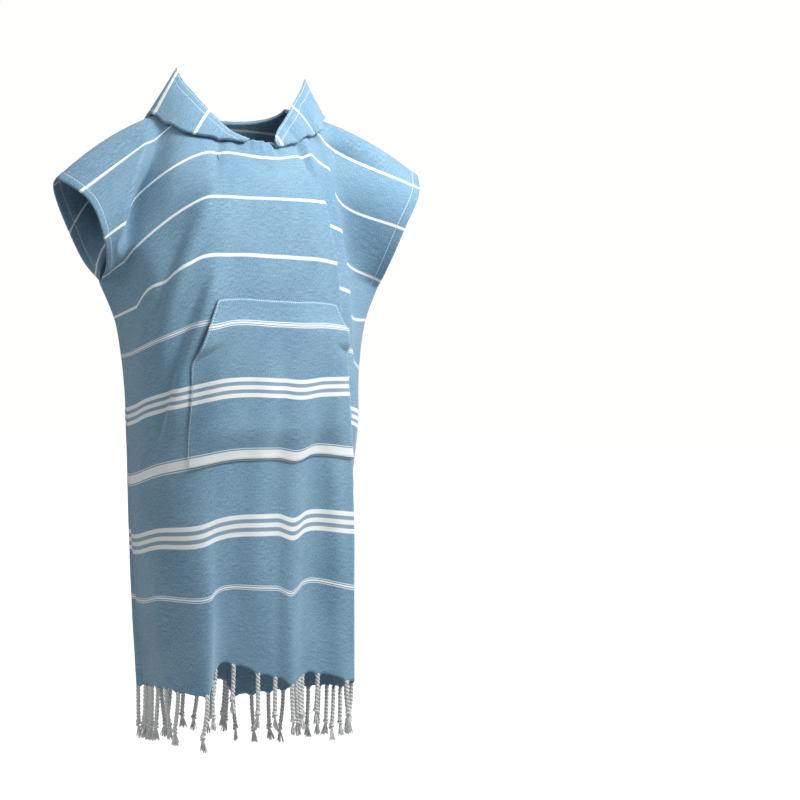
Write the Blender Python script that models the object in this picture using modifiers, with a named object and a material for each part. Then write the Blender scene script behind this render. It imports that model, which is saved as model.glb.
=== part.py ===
"""A hooded bath poncho of flat-woven cotton, worn with its hood down, in metres with +Z up.

The origin is the middle of the neck, level with the sides of the neck, and the front faces -Y.
The front and back panels are cut with their sleeves in one. A place on either panel is given as it
was cut: across, from the centre line, positive towards +X, and height, above the hem.
Each panel hangs in sections from its own centre line out to the side seams and cuffs, and folds are
raised on it. The pocket and the hood's under layer are made from panel points, moved out.
"""

import math
from collections import namedtuple

import bpy
import numpy as np

WALL = 0.002
SEAM_GAP = 0.0003
FACET_ROOM = 0.0017  # flat facets bow off the curve by up to this, so a laid-on piece starts this far out

CUT_LENGTH = 1.05
SHOULDER_HALF = 0.39
BODY_HALF = 0.325
UNDERARM = 0.795
NECK_HALF = 0.10
FRONT_NECK_DEPTH = 0.115
BACK_NECK_DEPTH = 0.026
FRINGE_LENGTH = 0.105
FRINGE_THICK = 0.006
HEM_GAP = 0.0012

SIDE_COLUMNS = 12
NECK_COLUMNS = 16
HEIGHTS = [0.0, 0.07, 0.14, 0.21, 0.28, 0.36, 0.44, 0.52, 0.60, 0.67, 0.735, UNDERARM]
SLEEVE_ROWS = 7
RIDGE_SHARE = 1 - (1 - NECK_HALF / SHOULDER_HALF) * 9 / SIDE_COLUMNS
EDGE_SHARE = 1 - (1 - NECK_HALF / SHOULDER_HALF) * 5 / SIDE_COLUMNS

Middle = namedtuple("Middle", "height y z")
Ends = namedtuple("Ends", "height left_x left_y left_z right_x right_y right_z")
Fullness = namedtuple("Fullness", "height roundness left_bend right_bend")
Fold = namedtuple("Fold", "top across_top mid across_mid low across_low depth left_width right_width lean drop")
Line = namedtuple("Line", "sharp rows")
Spot = namedtuple("Spot", "height across x y z")
Panel = namedtuple("Panel", "outward middle cuffs left_lines right_lines folds neck_depth")

FRONT_MIDDLE = [
    Middle(1.050, 0.000, -0.008),
    Middle(1.010, -0.036, -0.024),
    Middle(0.935, -0.085, -0.080),
    Middle(0.906, -0.098, -0.110),
    Middle(0.810, -0.134, -0.183),
    Middle(0.715, -0.150, -0.282),
    Middle(0.618, -0.153, -0.390),
    Middle(0.500, -0.152, -0.503),
    Middle(0.380, -0.150, -0.613),
    Middle(0.263, -0.148, -0.733),
    Middle(0.162, -0.145, -0.840),
    Middle(0.000, -0.142, -0.994),
]
BACK_MIDDLE = [
    Middle(1.050, 0.000, -0.008),
    Middle(1.024, 0.040, -0.034),
    Middle(1.010, 0.052, -0.044),
    Middle(0.906, 0.096, -0.122),
    Middle(0.810, 0.105, -0.210),
    Middle(0.715, 0.106, -0.307),
    Middle(0.618, 0.102, -0.405),
    Middle(0.500, 0.100, -0.524),
    Middle(0.380, 0.100, -0.645),
    Middle(0.263, 0.100, -0.762),
    Middle(0.162, 0.100, -0.864),
    Middle(0.000, 0.100, -1.030),
]
SIDES = [
    Ends(0.795, -0.260, 0.000, -0.322, 0.285, 0.000, -0.318),
    Ends(0.715, -0.228, 0.010, -0.382, 0.265, 0.010, -0.378),
    Ends(0.618, -0.212, 0.013, -0.448, 0.254, 0.015, -0.465),
    Ends(0.500, -0.202, 0.013, -0.552, 0.252, 0.015, -0.563),
    Ends(0.380, -0.197, 0.013, -0.660, 0.235, 0.010, -0.672),
    Ends(0.263, -0.189, 0.013, -0.770, 0.212, 0.005, -0.780),
    Ends(0.162, -0.181, 0.013, -0.866, 0.200, 0.000, -0.872),
    Ends(0.000, -0.165, 0.010, -1.015, 0.190, 0.000, -1.040),
]
FRONT_CUFFS = [
    Ends(1.050, -0.345, -0.018, -0.155, 0.365, -0.008, -0.116),
    Ends(1.010, -0.319, -0.055, -0.180, 0.346, -0.045, -0.143),
    Ends(0.906, -0.290, -0.085, -0.256, 0.300, -0.070, -0.219),
    Ends(0.830, -0.268, -0.040, -0.304, 0.286, -0.028, -0.292),
    Ends(0.795, -0.260, 0.000, -0.322, 0.285, 0.000, -0.318),
]
BACK_CUFFS = [
    Ends(1.050, -0.345, -0.018, -0.155, 0.365, -0.008, -0.116),
    Ends(1.010, -0.335, 0.020, -0.162, 0.358, 0.030, -0.125),
    Ends(0.906, -0.294, 0.050, -0.237, 0.318, 0.058, -0.205),
    Ends(0.830, -0.268, 0.030, -0.299, 0.290, 0.034, -0.285),
    Ends(0.795, -0.260, 0.000, -0.322, 0.285, 0.000, -0.318),
]
FULLNESS = [
    Fullness(1.050, 0.00, 2.1, 2.3),
    Fullness(1.010, 0.00, 2.2, 2.6),
    Fullness(0.906, 0.15, 4.0, 3.2),
    Fullness(0.795, 0.65, 3.1, 3.6),
    Fullness(0.715, 0.95, 2.9, 3.6),
    Fullness(0.618, 1.00, 2.4, 3.4),
    Fullness(0.500, 1.00, 2.0, 3.2),
    Fullness(0.000, 1.00, 2.0, 3.0),
]
# lines down the front panel, from the middle outwards, where the cloth turns
LEFT_LAP = Line(False, [
    Spot(1.010, -0.060, -0.055, -0.040, -0.030),
    Spot(0.906, -0.060, -0.058, -0.099, -0.106),
    Spot(0.810, -0.075, -0.073, -0.134, -0.183),
    Spot(0.715, -0.090, -0.088, -0.150, -0.281),
    Spot(0.618, -0.100, -0.098, -0.153, -0.389),
    Spot(0.500, -0.110, -0.108, -0.151, -0.505),
    Spot(0.380, -0.113, -0.111, -0.149, -0.618),
    Spot(0.263, -0.115, -0.113, -0.144, -0.740),
    Spot(0.162, -0.116, -0.110, -0.139, -0.842),
    Spot(0.000, -0.118, -0.110, -0.130, -0.982),
])
LEFT_BREAST = Line(False, [
    Spot(1.010, -0.110, -0.098, -0.042, -0.038),
    Spot(0.906, -0.098, -0.094, -0.100, -0.105),
    Spot(0.810, -0.125, -0.120, -0.133, -0.187),
    Spot(0.715, -0.140, -0.137, -0.145, -0.286),
    Spot(0.618, -0.140, -0.136, -0.146, -0.396),
    Spot(0.500, -0.140, -0.136, -0.145, -0.511),
    Spot(0.380, -0.140, -0.137, -0.143, -0.624),
    Spot(0.263, -0.140, -0.135, -0.144, -0.748),
    Spot(0.162, -0.140, -0.126, -0.148, -0.852),
    Spot(0.000, -0.142, -0.126, -0.150, -1.010),
])
LEFT_FLANK = Line(False, [
    Spot(1.010, -0.160, -0.142, -0.045, -0.055),
    Spot(0.906, -0.172, -0.162, -0.092, -0.132),
    Spot(0.810, -0.195, -0.175, -0.105, -0.219),
    Spot(0.715, -0.205, -0.190, -0.118, -0.324),
    Spot(0.618, -0.220, -0.200, -0.110, -0.424),
    Spot(0.500, -0.210, -0.187, -0.112, -0.525),
    Spot(0.380, -0.225, -0.193, -0.080, -0.642),
    Spot(0.263, -0.225, -0.189, -0.078, -0.756),
    Spot(0.162, -0.225, -0.186, -0.074, -0.855),
    Spot(0.000, -0.215, -0.165, -0.070, -1.012),
])
LEFT_TROUGH = Line(False, [
    Spot(1.010, -0.190, -0.168, -0.036, -0.077),
    Spot(0.960, -0.206, -0.188, -0.046, -0.124),
    Spot(0.906, -0.245, -0.222, -0.046, -0.192),
    Spot(0.860, -0.262, -0.232, -0.052, -0.240),
    Spot(0.810, -0.250, -0.222, -0.072, -0.266),
    Spot(0.715, -0.250, -0.212, -0.088, -0.342),
    Spot(0.618, -0.265, -0.214, -0.066, -0.438),
    Spot(0.500, -0.255, -0.204, -0.070, -0.536),
    Spot(0.380, -0.265, -0.200, -0.042, -0.652),
    Spot(0.263, -0.262, -0.192, -0.040, -0.763),
    Spot(0.162, -0.262, -0.187, -0.038, -0.862),
    Spot(0.000, -0.255, -0.167, -0.038, -1.014),
])
LEFT_RIDGE = Line(True, [
    Spot(1.010, -0.225, -0.198, -0.050, -0.092),
    Spot(0.960, -0.248, -0.222, -0.070, -0.137),
    Spot(0.906, -0.300, -0.253, -0.088, -0.230),
    Spot(0.860, -0.312, -0.262, -0.076, -0.268),
    Spot(0.810, -0.288, -0.236, -0.046, -0.290),
    Spot(0.715, -0.280, -0.217, -0.058, -0.367),
    Spot(0.618, -0.295, -0.214, -0.028, -0.445),
    Spot(0.500, -0.290, -0.204, -0.028, -0.546),
    Spot(0.380, -0.295, -0.199, -0.014, -0.657),
    Spot(0.263, -0.293, -0.191, -0.012, -0.768),
    Spot(0.162, -0.293, -0.184, -0.012, -0.865),
    Spot(0.000, -0.288, -0.167, -0.012, -1.015),
])
RIGHT_LAP = Line(False, [
    Spot(1.010, 0.030, 0.029, -0.037, -0.026),
    Spot(0.906, 0.030, 0.029, -0.098, -0.110),
    Spot(0.810, 0.035, 0.034, -0.133, -0.183),
    Spot(0.715, 0.040, 0.039, -0.149, -0.283),
    Spot(0.618, 0.040, 0.039, -0.152, -0.391),
    Spot(0.500, 0.035, 0.034, -0.153, -0.506),
    Spot(0.380, 0.030, 0.029, -0.153, -0.618),
    Spot(0.263, 0.030, 0.027, -0.152, -0.741),
    Spot(0.162, 0.030, 0.025, -0.151, -0.850),
    Spot(0.000, 0.030, 0.025, -0.150, -1.008),
])
RIGHT_PLAIN = Line(False, [
    Spot(1.010, 0.070, 0.066, -0.042, -0.030),
    Spot(0.906, 0.068, 0.066, -0.094, -0.104),
    Spot(0.810, 0.075, 0.072, -0.130, -0.183),
    Spot(0.715, 0.085, 0.082, -0.146, -0.284),
    Spot(0.618, 0.088, 0.085, -0.148, -0.390),
    Spot(0.500, 0.082, 0.079, -0.144, -0.500),
    Spot(0.380, 0.076, 0.071, -0.140, -0.608),
    Spot(0.263, 0.070, 0.062, -0.137, -0.730),
    Spot(0.162, 0.066, 0.057, -0.135, -0.834),
    Spot(0.000, 0.066, 0.056, -0.134, -0.995),
])
RIGHT_RIDGE = Line(True, [
    Spot(1.010, 0.105, 0.098, -0.045, -0.036),
    Spot(0.906, 0.100, 0.098, -0.090, -0.098),
    Spot(0.810, 0.115, 0.108, -0.122, -0.184),
    Spot(0.715, 0.125, 0.122, -0.137, -0.289),
    Spot(0.618, 0.138, 0.132, -0.138, -0.394),
    Spot(0.500, 0.148, 0.142, -0.136, -0.499),
    Spot(0.380, 0.160, 0.155, -0.131, -0.614),
    Spot(0.263, 0.165, 0.160, -0.130, -0.735),
    Spot(0.162, 0.165, 0.160, -0.130, -0.847),
    Spot(0.000, 0.165, 0.160, -0.130, -1.014),
])
RIGHT_TUCK = Line(False, [
    Spot(1.010, 0.118, 0.108, -0.042, -0.042),
    Spot(0.906, 0.122, 0.116, -0.076, -0.106),
    Spot(0.810, 0.148, 0.114, -0.096, -0.208),
    Spot(0.715, 0.160, 0.127, -0.106, -0.316),
    Spot(0.618, 0.172, 0.136, -0.108, -0.421),
    Spot(0.500, 0.182, 0.147, -0.106, -0.533),
    Spot(0.380, 0.190, 0.160, -0.102, -0.632),
    Spot(0.263, 0.195, 0.165, -0.100, -0.752),
    Spot(0.162, 0.195, 0.165, -0.100, -0.858),
    Spot(0.000, 0.195, 0.165, -0.100, -1.024),
])
RIGHT_EDGE = Line(True, [
    Spot(1.010, 0.150, 0.134, -0.052, -0.058),
    Spot(0.906, 0.163, 0.152, -0.058, -0.118),
    Spot(0.810, 0.195, 0.172, -0.068, -0.227),
    Spot(0.715, 0.218, 0.187, -0.068, -0.333),
    Spot(0.618, 0.232, 0.196, -0.063, -0.438),
    Spot(0.500, 0.242, 0.209, -0.058, -0.556),
    Spot(0.380, 0.240, 0.186, -0.058, -0.652),
    Spot(0.263, 0.240, 0.184, -0.060, -0.770),
    Spot(0.162, 0.238, 0.182, -0.060, -0.866),
    Spot(0.000, 0.236, 0.178, -0.060, -1.034),
])
RIGHT_TROUGH = Line(False, [
    Spot(1.010, 0.175, 0.156, -0.030, -0.066),
    Spot(0.906, 0.228, 0.190, -0.022, -0.166),
    Spot(0.810, 0.255, 0.206, -0.022, -0.277),
    Spot(0.715, 0.278, 0.219, -0.022, -0.376),
    Spot(0.618, 0.285, 0.225, -0.018, -0.455),
    Spot(0.500, 0.288, 0.234, -0.016, -0.561),
    Spot(0.380, 0.285, 0.215, -0.018, -0.668),
    Spot(0.263, 0.285, 0.202, -0.020, -0.777),
    Spot(0.162, 0.284, 0.193, -0.020, -0.871),
    Spot(0.000, 0.282, 0.186, -0.020, -1.038),
])
FRONT_FOLDS = [
    # a diagonal crease from the chest down to the left hip
    Fold(0.72, -0.105, 0.545, -0.179, 0.40, -0.222, 0.009, 0.026, 0.034, 0.0, 0.000),
]
BACK_FOLDS = [
    # the ridge and deep trough beside the left sleeve, and soft folds beside the right one
    Fold(1.00, -0.110, 0.750, -0.165, -0.10, -0.200, 0.020, 0.028, 0.045, -0.2, 0.000),
    Fold(1.02, -0.158, 0.810, -0.222, 0.50, -0.275, -0.022, 0.038, 0.028, 0.0, 0.000),
    Fold(1.03, 0.180, 0.880, 0.250, 0.72, 0.300, 0.014, 0.020, 0.040, 0.0, 0.000),
    Fold(1.03, 0.140, 0.880, 0.205, 0.70, 0.262, -0.014, 0.022, 0.018, 0.0, 0.000),
    # the lower back folds over towards the right and hangs lower there
    Fold(0.50, 0.030, 0.250, 0.040, -0.10, 0.045, 0.014, 0.016, 0.050, -0.3, 0.034),
    Fold(0.60, -0.080, 0.300, -0.095, -0.10, -0.100, 0.010, 0.035, 0.045, 0.0, 0.000),
]
FRONT_LEFT = [LEFT_LAP, LEFT_BREAST, LEFT_FLANK, LEFT_TROUGH, LEFT_RIDGE]
FRONT_RIGHT = [RIGHT_LAP, RIGHT_PLAIN, RIGHT_RIDGE, RIGHT_TUCK, RIGHT_EDGE, RIGHT_TROUGH]
FRONT = Panel(1, FRONT_MIDDLE, FRONT_CUFFS, FRONT_LEFT, FRONT_RIGHT, FRONT_FOLDS, FRONT_NECK_DEPTH)
BACK = Panel(-1, BACK_MIDDLE, BACK_CUFFS, [], [], BACK_FOLDS, BACK_NECK_DEPTH)

SMALL = 1e-4
MIDDLE_SLOPE = 0.97  # how far the cloth spreads sideways at its middle, for each metre of cut


def along(rows, column, place, key="height"):
    """A smooth curve through one column of a table, read at a place."""
    order = sorted(rows, key=lambda row: getattr(row, key))
    places = np.array([getattr(row, key) for row in order])
    values = np.array([getattr(row, column) for row in order])
    slopes = np.gradient(values, places)
    place = np.clip(place, places[0], places[-1])
    index = np.clip(np.searchsorted(places, place) - 1, 0, len(places) - 2)
    step = places[index + 1] - places[index]
    t = (place - places[index]) / step
    start = values[index] * (1 + 2 * t) * (1 - t) ** 2 + slopes[index] * step * t * (1 - t) ** 2
    end = values[index + 1] * t**2 * (3 - 2 * t) - slopes[index + 1] * step * t**2 * (1 - t)
    return start + end


def ramp(value, low, high):
    """Rises softly from 0 at low to 1 at high."""
    t = np.clip((value - low) / (high - low), 0, 1)
    return t * t * (3 - 2 * t)


def half_width(height):
    """Half of the cut width at a height, wider from the underarm up to the shoulder line."""
    grow = np.clip((height - UNDERARM) / (CUT_LENGTH - UNDERARM), 0, 1)
    return BODY_HALF + (SHOULDER_HALF - BODY_HALF) * grow


def end_value(panel, column, height):
    """One column of the ends: the side seam below the underarm and the panel's cuff above it."""
    return np.where(height > UNDERARM, along(panel.cuffs, column, height), along(SIDES, column, height))


def through_lines(panel, lines, side, across, height):
    """Where a place on one side of a panel hangs, on a smooth curve through that panel's lines."""
    half = half_width(height)
    middle = np.stack([0 * height, along(panel.middle, "y", height), along(panel.middle, "z", height)], axis=-1)
    name = "right_" if side > 0 else "left_"
    end = np.stack([end_value(panel, name + axis, height) for axis in "xyz"], axis=-1)
    stops = [0 * height] + [side * along(line.rows, "across", height) for line in lines] + [half]
    inner = [np.stack([along(line.rows, axis, height) for axis in "xyz"], axis=-1) for line in lines]
    spots = [middle] + inner + [end]
    sharp = [False] + [line.sharp for line in lines] + [True]
    steps = [((spots[i + 1] - spots[i]) / (stops[i + 1] - stops[i])[..., None]) for i in range(len(stops) - 1)]
    place = np.clip(side * across, 0, half)
    found = end
    for i in reversed(range(len(steps))):
        gap = stops[i + 1] - stops[i]
        if i == 0:
            first = np.zeros_like(middle) + MIDDLE_SLOPE * np.array([side, 0, 0])
        else:
            first = steps[i] if sharp[i] else turn_slope(steps, stops, i)
        last = steps[i] if sharp[i + 1] else turn_slope(steps, stops, i + 1)
        t = np.clip((place - stops[i]) / gap, 0, 1)[..., None]
        gap = gap[..., None]
        curve = spots[i] * (1 + 2 * t) * (1 - t) ** 2 + first * gap * t * (1 - t) ** 2
        curve = curve + spots[i + 1] * t**2 * (3 - 2 * t) - last * gap * t**2 * (1 - t)
        found = np.where((place <= stops[i + 1])[..., None], curve, found)
    return found


def turn_slope(steps, stops, i):
    """The slope at a line: the mean of the steps on both sides, each weighed by the other's width."""
    before = (stops[i] - stops[i - 1])[..., None]
    after = (stops[i + 1] - stops[i])[..., None]
    return (steps[i - 1] * after + steps[i] * before) / (before + after)


def hang_plain(panel, across, height):
    """Where a place on a panel hangs, before its folds."""
    point = hang_round(panel, across, height)
    if not panel.left_lines:
        return point
    left = through_lines(panel, panel.left_lines, -1, across, height)
    right = through_lines(panel, panel.right_lines, 1, across, height)
    away = ramp(CUT_LENGTH - height, 0.0, 0.045)[..., None]
    return point + (np.where((across < 0)[..., None], left, right) - point) * away


def hang_round(panel, across, height):
    """Where a place hangs on a panel that is round from its middle to its sides."""
    share = np.clip(abs(across) / half_width(height), 0, 1)
    left = across < 0
    end_x, end_y, end_z = (
        np.where(left, end_value(panel, "left_" + axis, height), end_value(panel, "right_" + axis, height))
        for axis in "xyz"
    )
    bend = np.where(left, along(FULLNESS, "left_bend", height), along(FULLNESS, "right_bend", height))
    roundness = along(FULLNESS, "roundness", height)
    mid_y = along(panel.middle, "y", height)
    mid_z = along(panel.middle, "z", height)
    turn = share * math.pi / 2
    x = end_x * ((1 - roundness) * share + roundness * np.sin(turn))
    y = end_y + (mid_y - end_y) * ((1 - roundness) * (1 - share**2) + roundness * np.cos(turn))
    z = mid_z + (end_z - mid_z) * share**bend
    return np.stack([x, y, z], axis=-1)


def outward_normal(surface, panel, across, height):
    """The outward direction of a surface at a place on its panel."""
    inside = np.clip(across, SMALL - half_width(height), half_width(height) - SMALL)
    low = np.clip(height, 2 * SMALL, CUT_LENGTH - 2 * SMALL)
    over = surface(panel, inside + SMALL, low) - surface(panel, inside - SMALL, low)
    up = surface(panel, inside, low + SMALL) - surface(panel, inside, low - SMALL)
    normal = np.cross(over, up) * panel.outward
    return normal / np.linalg.norm(normal, axis=-1, keepdims=True)


def hang(panel, across, height):
    """Where a place on a panel's inner face hangs, with its folds."""
    across, height = np.broadcast_arrays(np.asarray(across, float), np.asarray(height, float))
    point = hang_plain(panel, across, height)
    normal = outward_normal(hang_plain, panel, across, height)
    half = half_width(height)
    calm = ramp(half - abs(across), 0.004, 0.035) * ramp(CUT_LENGTH - height, 0.004, 0.045)
    for fold in panel.folds:
        heights = [fold.low, fold.mid, fold.top]
        centre = np.interp(height, heights, [fold.across_low, fold.across_mid, fold.across_top])
        off = across - centre
        width = np.where(off < 0, fold.left_width, fold.right_width)
        ends = ramp(height, fold.low, fold.low + 0.08) * ramp(fold.top - height, 0, 0.08)
        rise = fold.depth * np.exp(-((off / width) ** 2)) * ends * calm
        point = point + normal * rise[..., None]
        point[..., 0] += fold.lean * rise
        side = 1 if fold.across_mid > 0 else -1
        past = ramp(side * off, -0.012, 0.02)
        left_over = np.clip((half - abs(across)) / np.maximum(half - abs(centre), 0.02), 0, 1)
        point[..., 2] -= fold.drop * past * ends * calm * left_over
    return point


def neck_edge(panel, turn):
    """The height of the cut neck edge at a turn about the neck's centre, 0 at the panel's own middle."""
    return CUT_LENGTH - panel.neck_depth * np.cos(turn)


def panel_grid(panel):
    """Places of a panel's grid: columns from left to right, closer at the neck, rows from the hem up."""
    neck_share = NECK_HALF / SHOULDER_HALF
    turns = np.linspace(-math.pi / 2, math.pi / 2, NECK_COLUMNS + 1)
    outer = np.linspace(1, neck_share, SIDE_COLUMNS + 1)[:-1]
    shares = np.concatenate([-outer, neck_share * np.sin(turns), outer[::-1]])
    tops = np.full(len(shares), CUT_LENGTH)
    tops[SIDE_COLUMNS : SIDE_COLUMNS + NECK_COLUMNS + 1] = neck_edge(panel, turns)
    rise = np.linspace(0, 1, SLEEVE_ROWS + 1)[1:]
    heights = np.array(
        [HEIGHTS + [UNDERARM + (top - UNDERARM) * part for part in rise] for top in tops]
    ).T
    across = shares[None, :] * half_width(heights)
    if panel.right_lines:
        # below the sleeves two columns run along the ridge and the edge of the long right-hand fold
        ridge, edge = along(RIGHT_RIDGE.rows, "across", heights), along(RIGHT_EDGE.rows, "across", heights)
        half = half_width(heights)
        share = np.broadcast_to(shares[None, :], heights.shape)
        by_ridge = ridge * share / RIDGE_SHARE
        by_edge = ridge + (edge - ridge) * (share - RIDGE_SHARE) / (EDGE_SHARE - RIDGE_SHARE)
        by_side = edge + (half - edge) * (share - EDGE_SHARE) / (1 - EDGE_SHARE)
        followed = np.where(share < RIDGE_SHARE, by_ridge, np.where(share < EDGE_SHARE, by_edge, by_side))
        followed = np.where(share > 0, followed, across)
        across = across + (followed - across) * ramp(UNDERARM - heights, 0.0, 0.07)
    return across, heights


def cloth_object(name, points, material, thickness=WALL, side=1):
    """A closed cloth wall on a grid of points, thickened to one side of it."""
    rows, columns = points.shape[:2]
    bpy.ops.mesh.primitive_grid_add(x_subdivisions=columns - 1, y_subdivisions=rows - 1, size=2)
    piece = bpy.context.object
    piece.name = name
    piece.data.name = name
    piece.data.vertices.foreach_set("co", points.reshape(-1))
    piece.data.materials.append(material)
    triangles = piece.modifiers.new("Triangles", "TRIANGULATE")
    triangles.quad_method = "FIXED"
    wall = piece.modifiers.new("Wall", "SOLIDIFY")
    wall.thickness = thickness
    wall.offset = side
    wall.use_even_offset = False
    piece.data.shade_smooth()
    for collection in piece.users_collection:
        collection.objects.unlink(piece)
    PONCHO.objects.link(piece)
    return piece


def make_panel(name, panel, material):
    across, heights = panel_grid(panel)
    # each panel stops short of the other by half a seam gap, along the shoulder line and the sides
    points = hang(panel, across, heights)
    points[..., 1] -= panel.outward * SEAM_GAP / 2
    return cloth_object(name, points, material, side=panel.outward)


# The pocket's outline on the front panel: half its width at each height.
PocketEdge = namedtuple("PocketEdge", "height half")
POCKET = [
    PocketEdge(0.650, 0.120),
    PocketEdge(0.620, 0.134),
    PocketEdge(0.590, 0.149),
    PocketEdge(0.555, 0.165),
    PocketEdge(0.500, 0.165),
    PocketEdge(0.430, 0.165),
    PocketEdge(0.370, 0.165),
]
POCKET_OPENING_LOW = 0.555
POCKET_PUFF = 0.011
POCKET_COLUMNS = 14
POCKET_ROWS = 9
POCKET_RIDGE_ROOM = 0.004


def make_pocket(material):
    """The pocket, sewn along its top, its foot and its lower sides, and open along both slants."""
    places = [edge.height for edge in POCKET][::-1]
    halves = [edge.half for edge in POCKET][::-1]
    heights = np.linspace(places[0], places[-1], POCKET_ROWS + 1)
    half = np.interp(heights, places, halves)
    shares = np.linspace(-1, 1, POCKET_COLUMNS + 1)
    across = shares[None, :] * half[:, None]
    # the last column but one on the right runs along the ridge of the panel beneath
    last_inner = POCKET_COLUMNS - 1
    ridge = np.minimum(along(RIGHT_RIDGE.rows, "across", heights), half - POCKET_RIDGE_ROOM)
    follow = np.clip(shares / shares[last_inner], 0, 1)
    across += (ridge - across[:, last_inner])[:, None] * follow[None, :] * (shares < 1)
    height = np.broadcast_to(heights[:, None], across.shape)
    from_foot = ramp(height - places[0], 0, 0.06)
    from_top = ramp(places[-1] - height, 0, 0.05)
    sewn_side = ramp(half[:, None] - abs(across), 0, 0.05)
    open_side = ramp(height, POCKET_OPENING_LOW, POCKET_OPENING_LOW + 0.03)
    puff = POCKET_PUFF * from_foot * from_top * np.maximum(sewn_side, open_side)
    normal = outward_normal(hang, FRONT, across, height)
    reach = WALL + FACET_ROOM + puff
    points = hang(FRONT, across, height) + normal * reach[..., None]
    return cloth_object("pocket", points, material)


# The hood lies turned back on the shoulders. Each rib stands at a turn about the neck, in degrees from
# the centre front. Its under layer ends at a place on the panels, across and ahead of the shoulder
# line, and is lifted off them there. It turns over with a fat edge, bulges on its way back, and ends
# at x, y, z on the face edge.
HoodRib = namedtuple("HoodRib", "turn across ahead lift fat bulge x y z")
LEFT_HOOD = [
    HoodRib(11.25, -0.030, 0.120, 0.002, 0.0030, 0.001, -0.024, -0.092, -0.077),
    HoodRib(25.0, -0.073, 0.115, 0.003, 0.0032, 0.002, -0.049, -0.079, -0.064),
    HoodRib(40.0, -0.112, 0.106, 0.003, 0.0032, 0.003, -0.072, -0.063, -0.040),
    HoodRib(55.0, -0.143, 0.082, 0.003, 0.0032, 0.003, -0.088, -0.046, -0.016),
    HoodRib(70.0, -0.162, 0.045, 0.003, 0.0034, 0.003, -0.100, -0.028, 0.007),
    HoodRib(80.0, -0.174, 0.022, 0.003, 0.0036, 0.002, -0.110, -0.014, 0.025),
    HoodRib(90.0, -0.184, 0.000, 0.003, 0.0040, 0.000, -0.117, 0.000, 0.050),
    HoodRib(100.0, -0.172, -0.035, 0.006, 0.0060, 0.002, -0.116, 0.018, 0.028),
    HoodRib(115.0, -0.150, -0.075, 0.010, 0.0120, 0.006, -0.106, 0.042, 0.000),
    HoodRib(140.0, -0.122, -0.130, 0.016, 0.0220, 0.010, -0.078, 0.080, -0.044),
    HoodRib(160.0, -0.068, -0.172, 0.018, 0.0270, 0.012, -0.042, 0.104, -0.064),
    HoodRib(180.0, 0.000, -0.190, 0.018, 0.0280, 0.012, 0.000, 0.112, -0.070),
]
RIGHT_HOOD = [
    HoodRib(11.25, 0.028, 0.120, 0.002, 0.0030, 0.001, 0.026, -0.092, -0.077),
    HoodRib(25.0, 0.055, 0.117, 0.003, 0.0032, 0.002, 0.038, -0.079, -0.058),
    HoodRib(40.0, 0.086, 0.105, 0.003, 0.0032, 0.003, 0.059, -0.063, -0.038),
    HoodRib(55.0, 0.118, 0.080, 0.003, 0.0032, 0.003, 0.081, -0.046, -0.015),
    HoodRib(70.0, 0.142, 0.045, 0.003, 0.0034, 0.003, 0.103, -0.028, 0.009),
    HoodRib(80.0, 0.158, 0.022, 0.003, 0.0036, 0.002, 0.120, -0.014, 0.026),
    HoodRib(90.0, 0.180, 0.000, 0.003, 0.0040, 0.000, 0.137, 0.000, 0.048),
    HoodRib(100.0, 0.172, -0.035, 0.006, 0.0060, 0.002, 0.140, 0.018, 0.026),
    HoodRib(115.0, 0.152, -0.075, 0.010, 0.0120, 0.006, 0.136, 0.045, -0.006),
    HoodRib(140.0, 0.124, -0.130, 0.016, 0.0220, 0.010, 0.108, 0.080, -0.052),
    HoodRib(160.0, 0.070, -0.172, 0.018, 0.0270, 0.012, 0.056, 0.104, -0.066),
    HoodRib(180.0, 0.000, -0.190, 0.018, 0.0280, 0.012, 0.000, 0.112, -0.070),
]
PEAK_TURN = 90
LEAST_FAT = 0.005
UNDER_ROWS = 6
TURN_ROWS = 4
OVER_ROWS = 6
NECK_SEAM_GAP = 0.0013


def rib_value(ribs, column, turn):
    """One column of a hood table at turns in degrees, smooth but for the corner at the peak."""
    before = along([rib for rib in ribs if rib.turn <= PEAK_TURN], column, turn, key="turn")
    after = along([rib for rib in ribs if rib.turn >= PEAK_TURN], column, turn, key="turn")
    return np.where(turn <= PEAK_TURN, before, after)


def on_shoulders(across, ahead):
    """The outer face of the panels, ahead of the shoulder line or behind it, and the way out of it there."""
    height = CUT_LENGTH - abs(ahead)
    faces = []
    for panel in (FRONT, BACK):
        normal = outward_normal(hang, panel, across, height)
        faces.append((hang(panel, across, height) + normal * WALL, normal))
    in_front = (ahead > 0)[..., None]
    return [np.where(in_front, front_one, back_one) for front_one, back_one in zip(*faces)]


def unit(way):
    return way / np.linalg.norm(way, axis=-1, keepdims=True)


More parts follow.
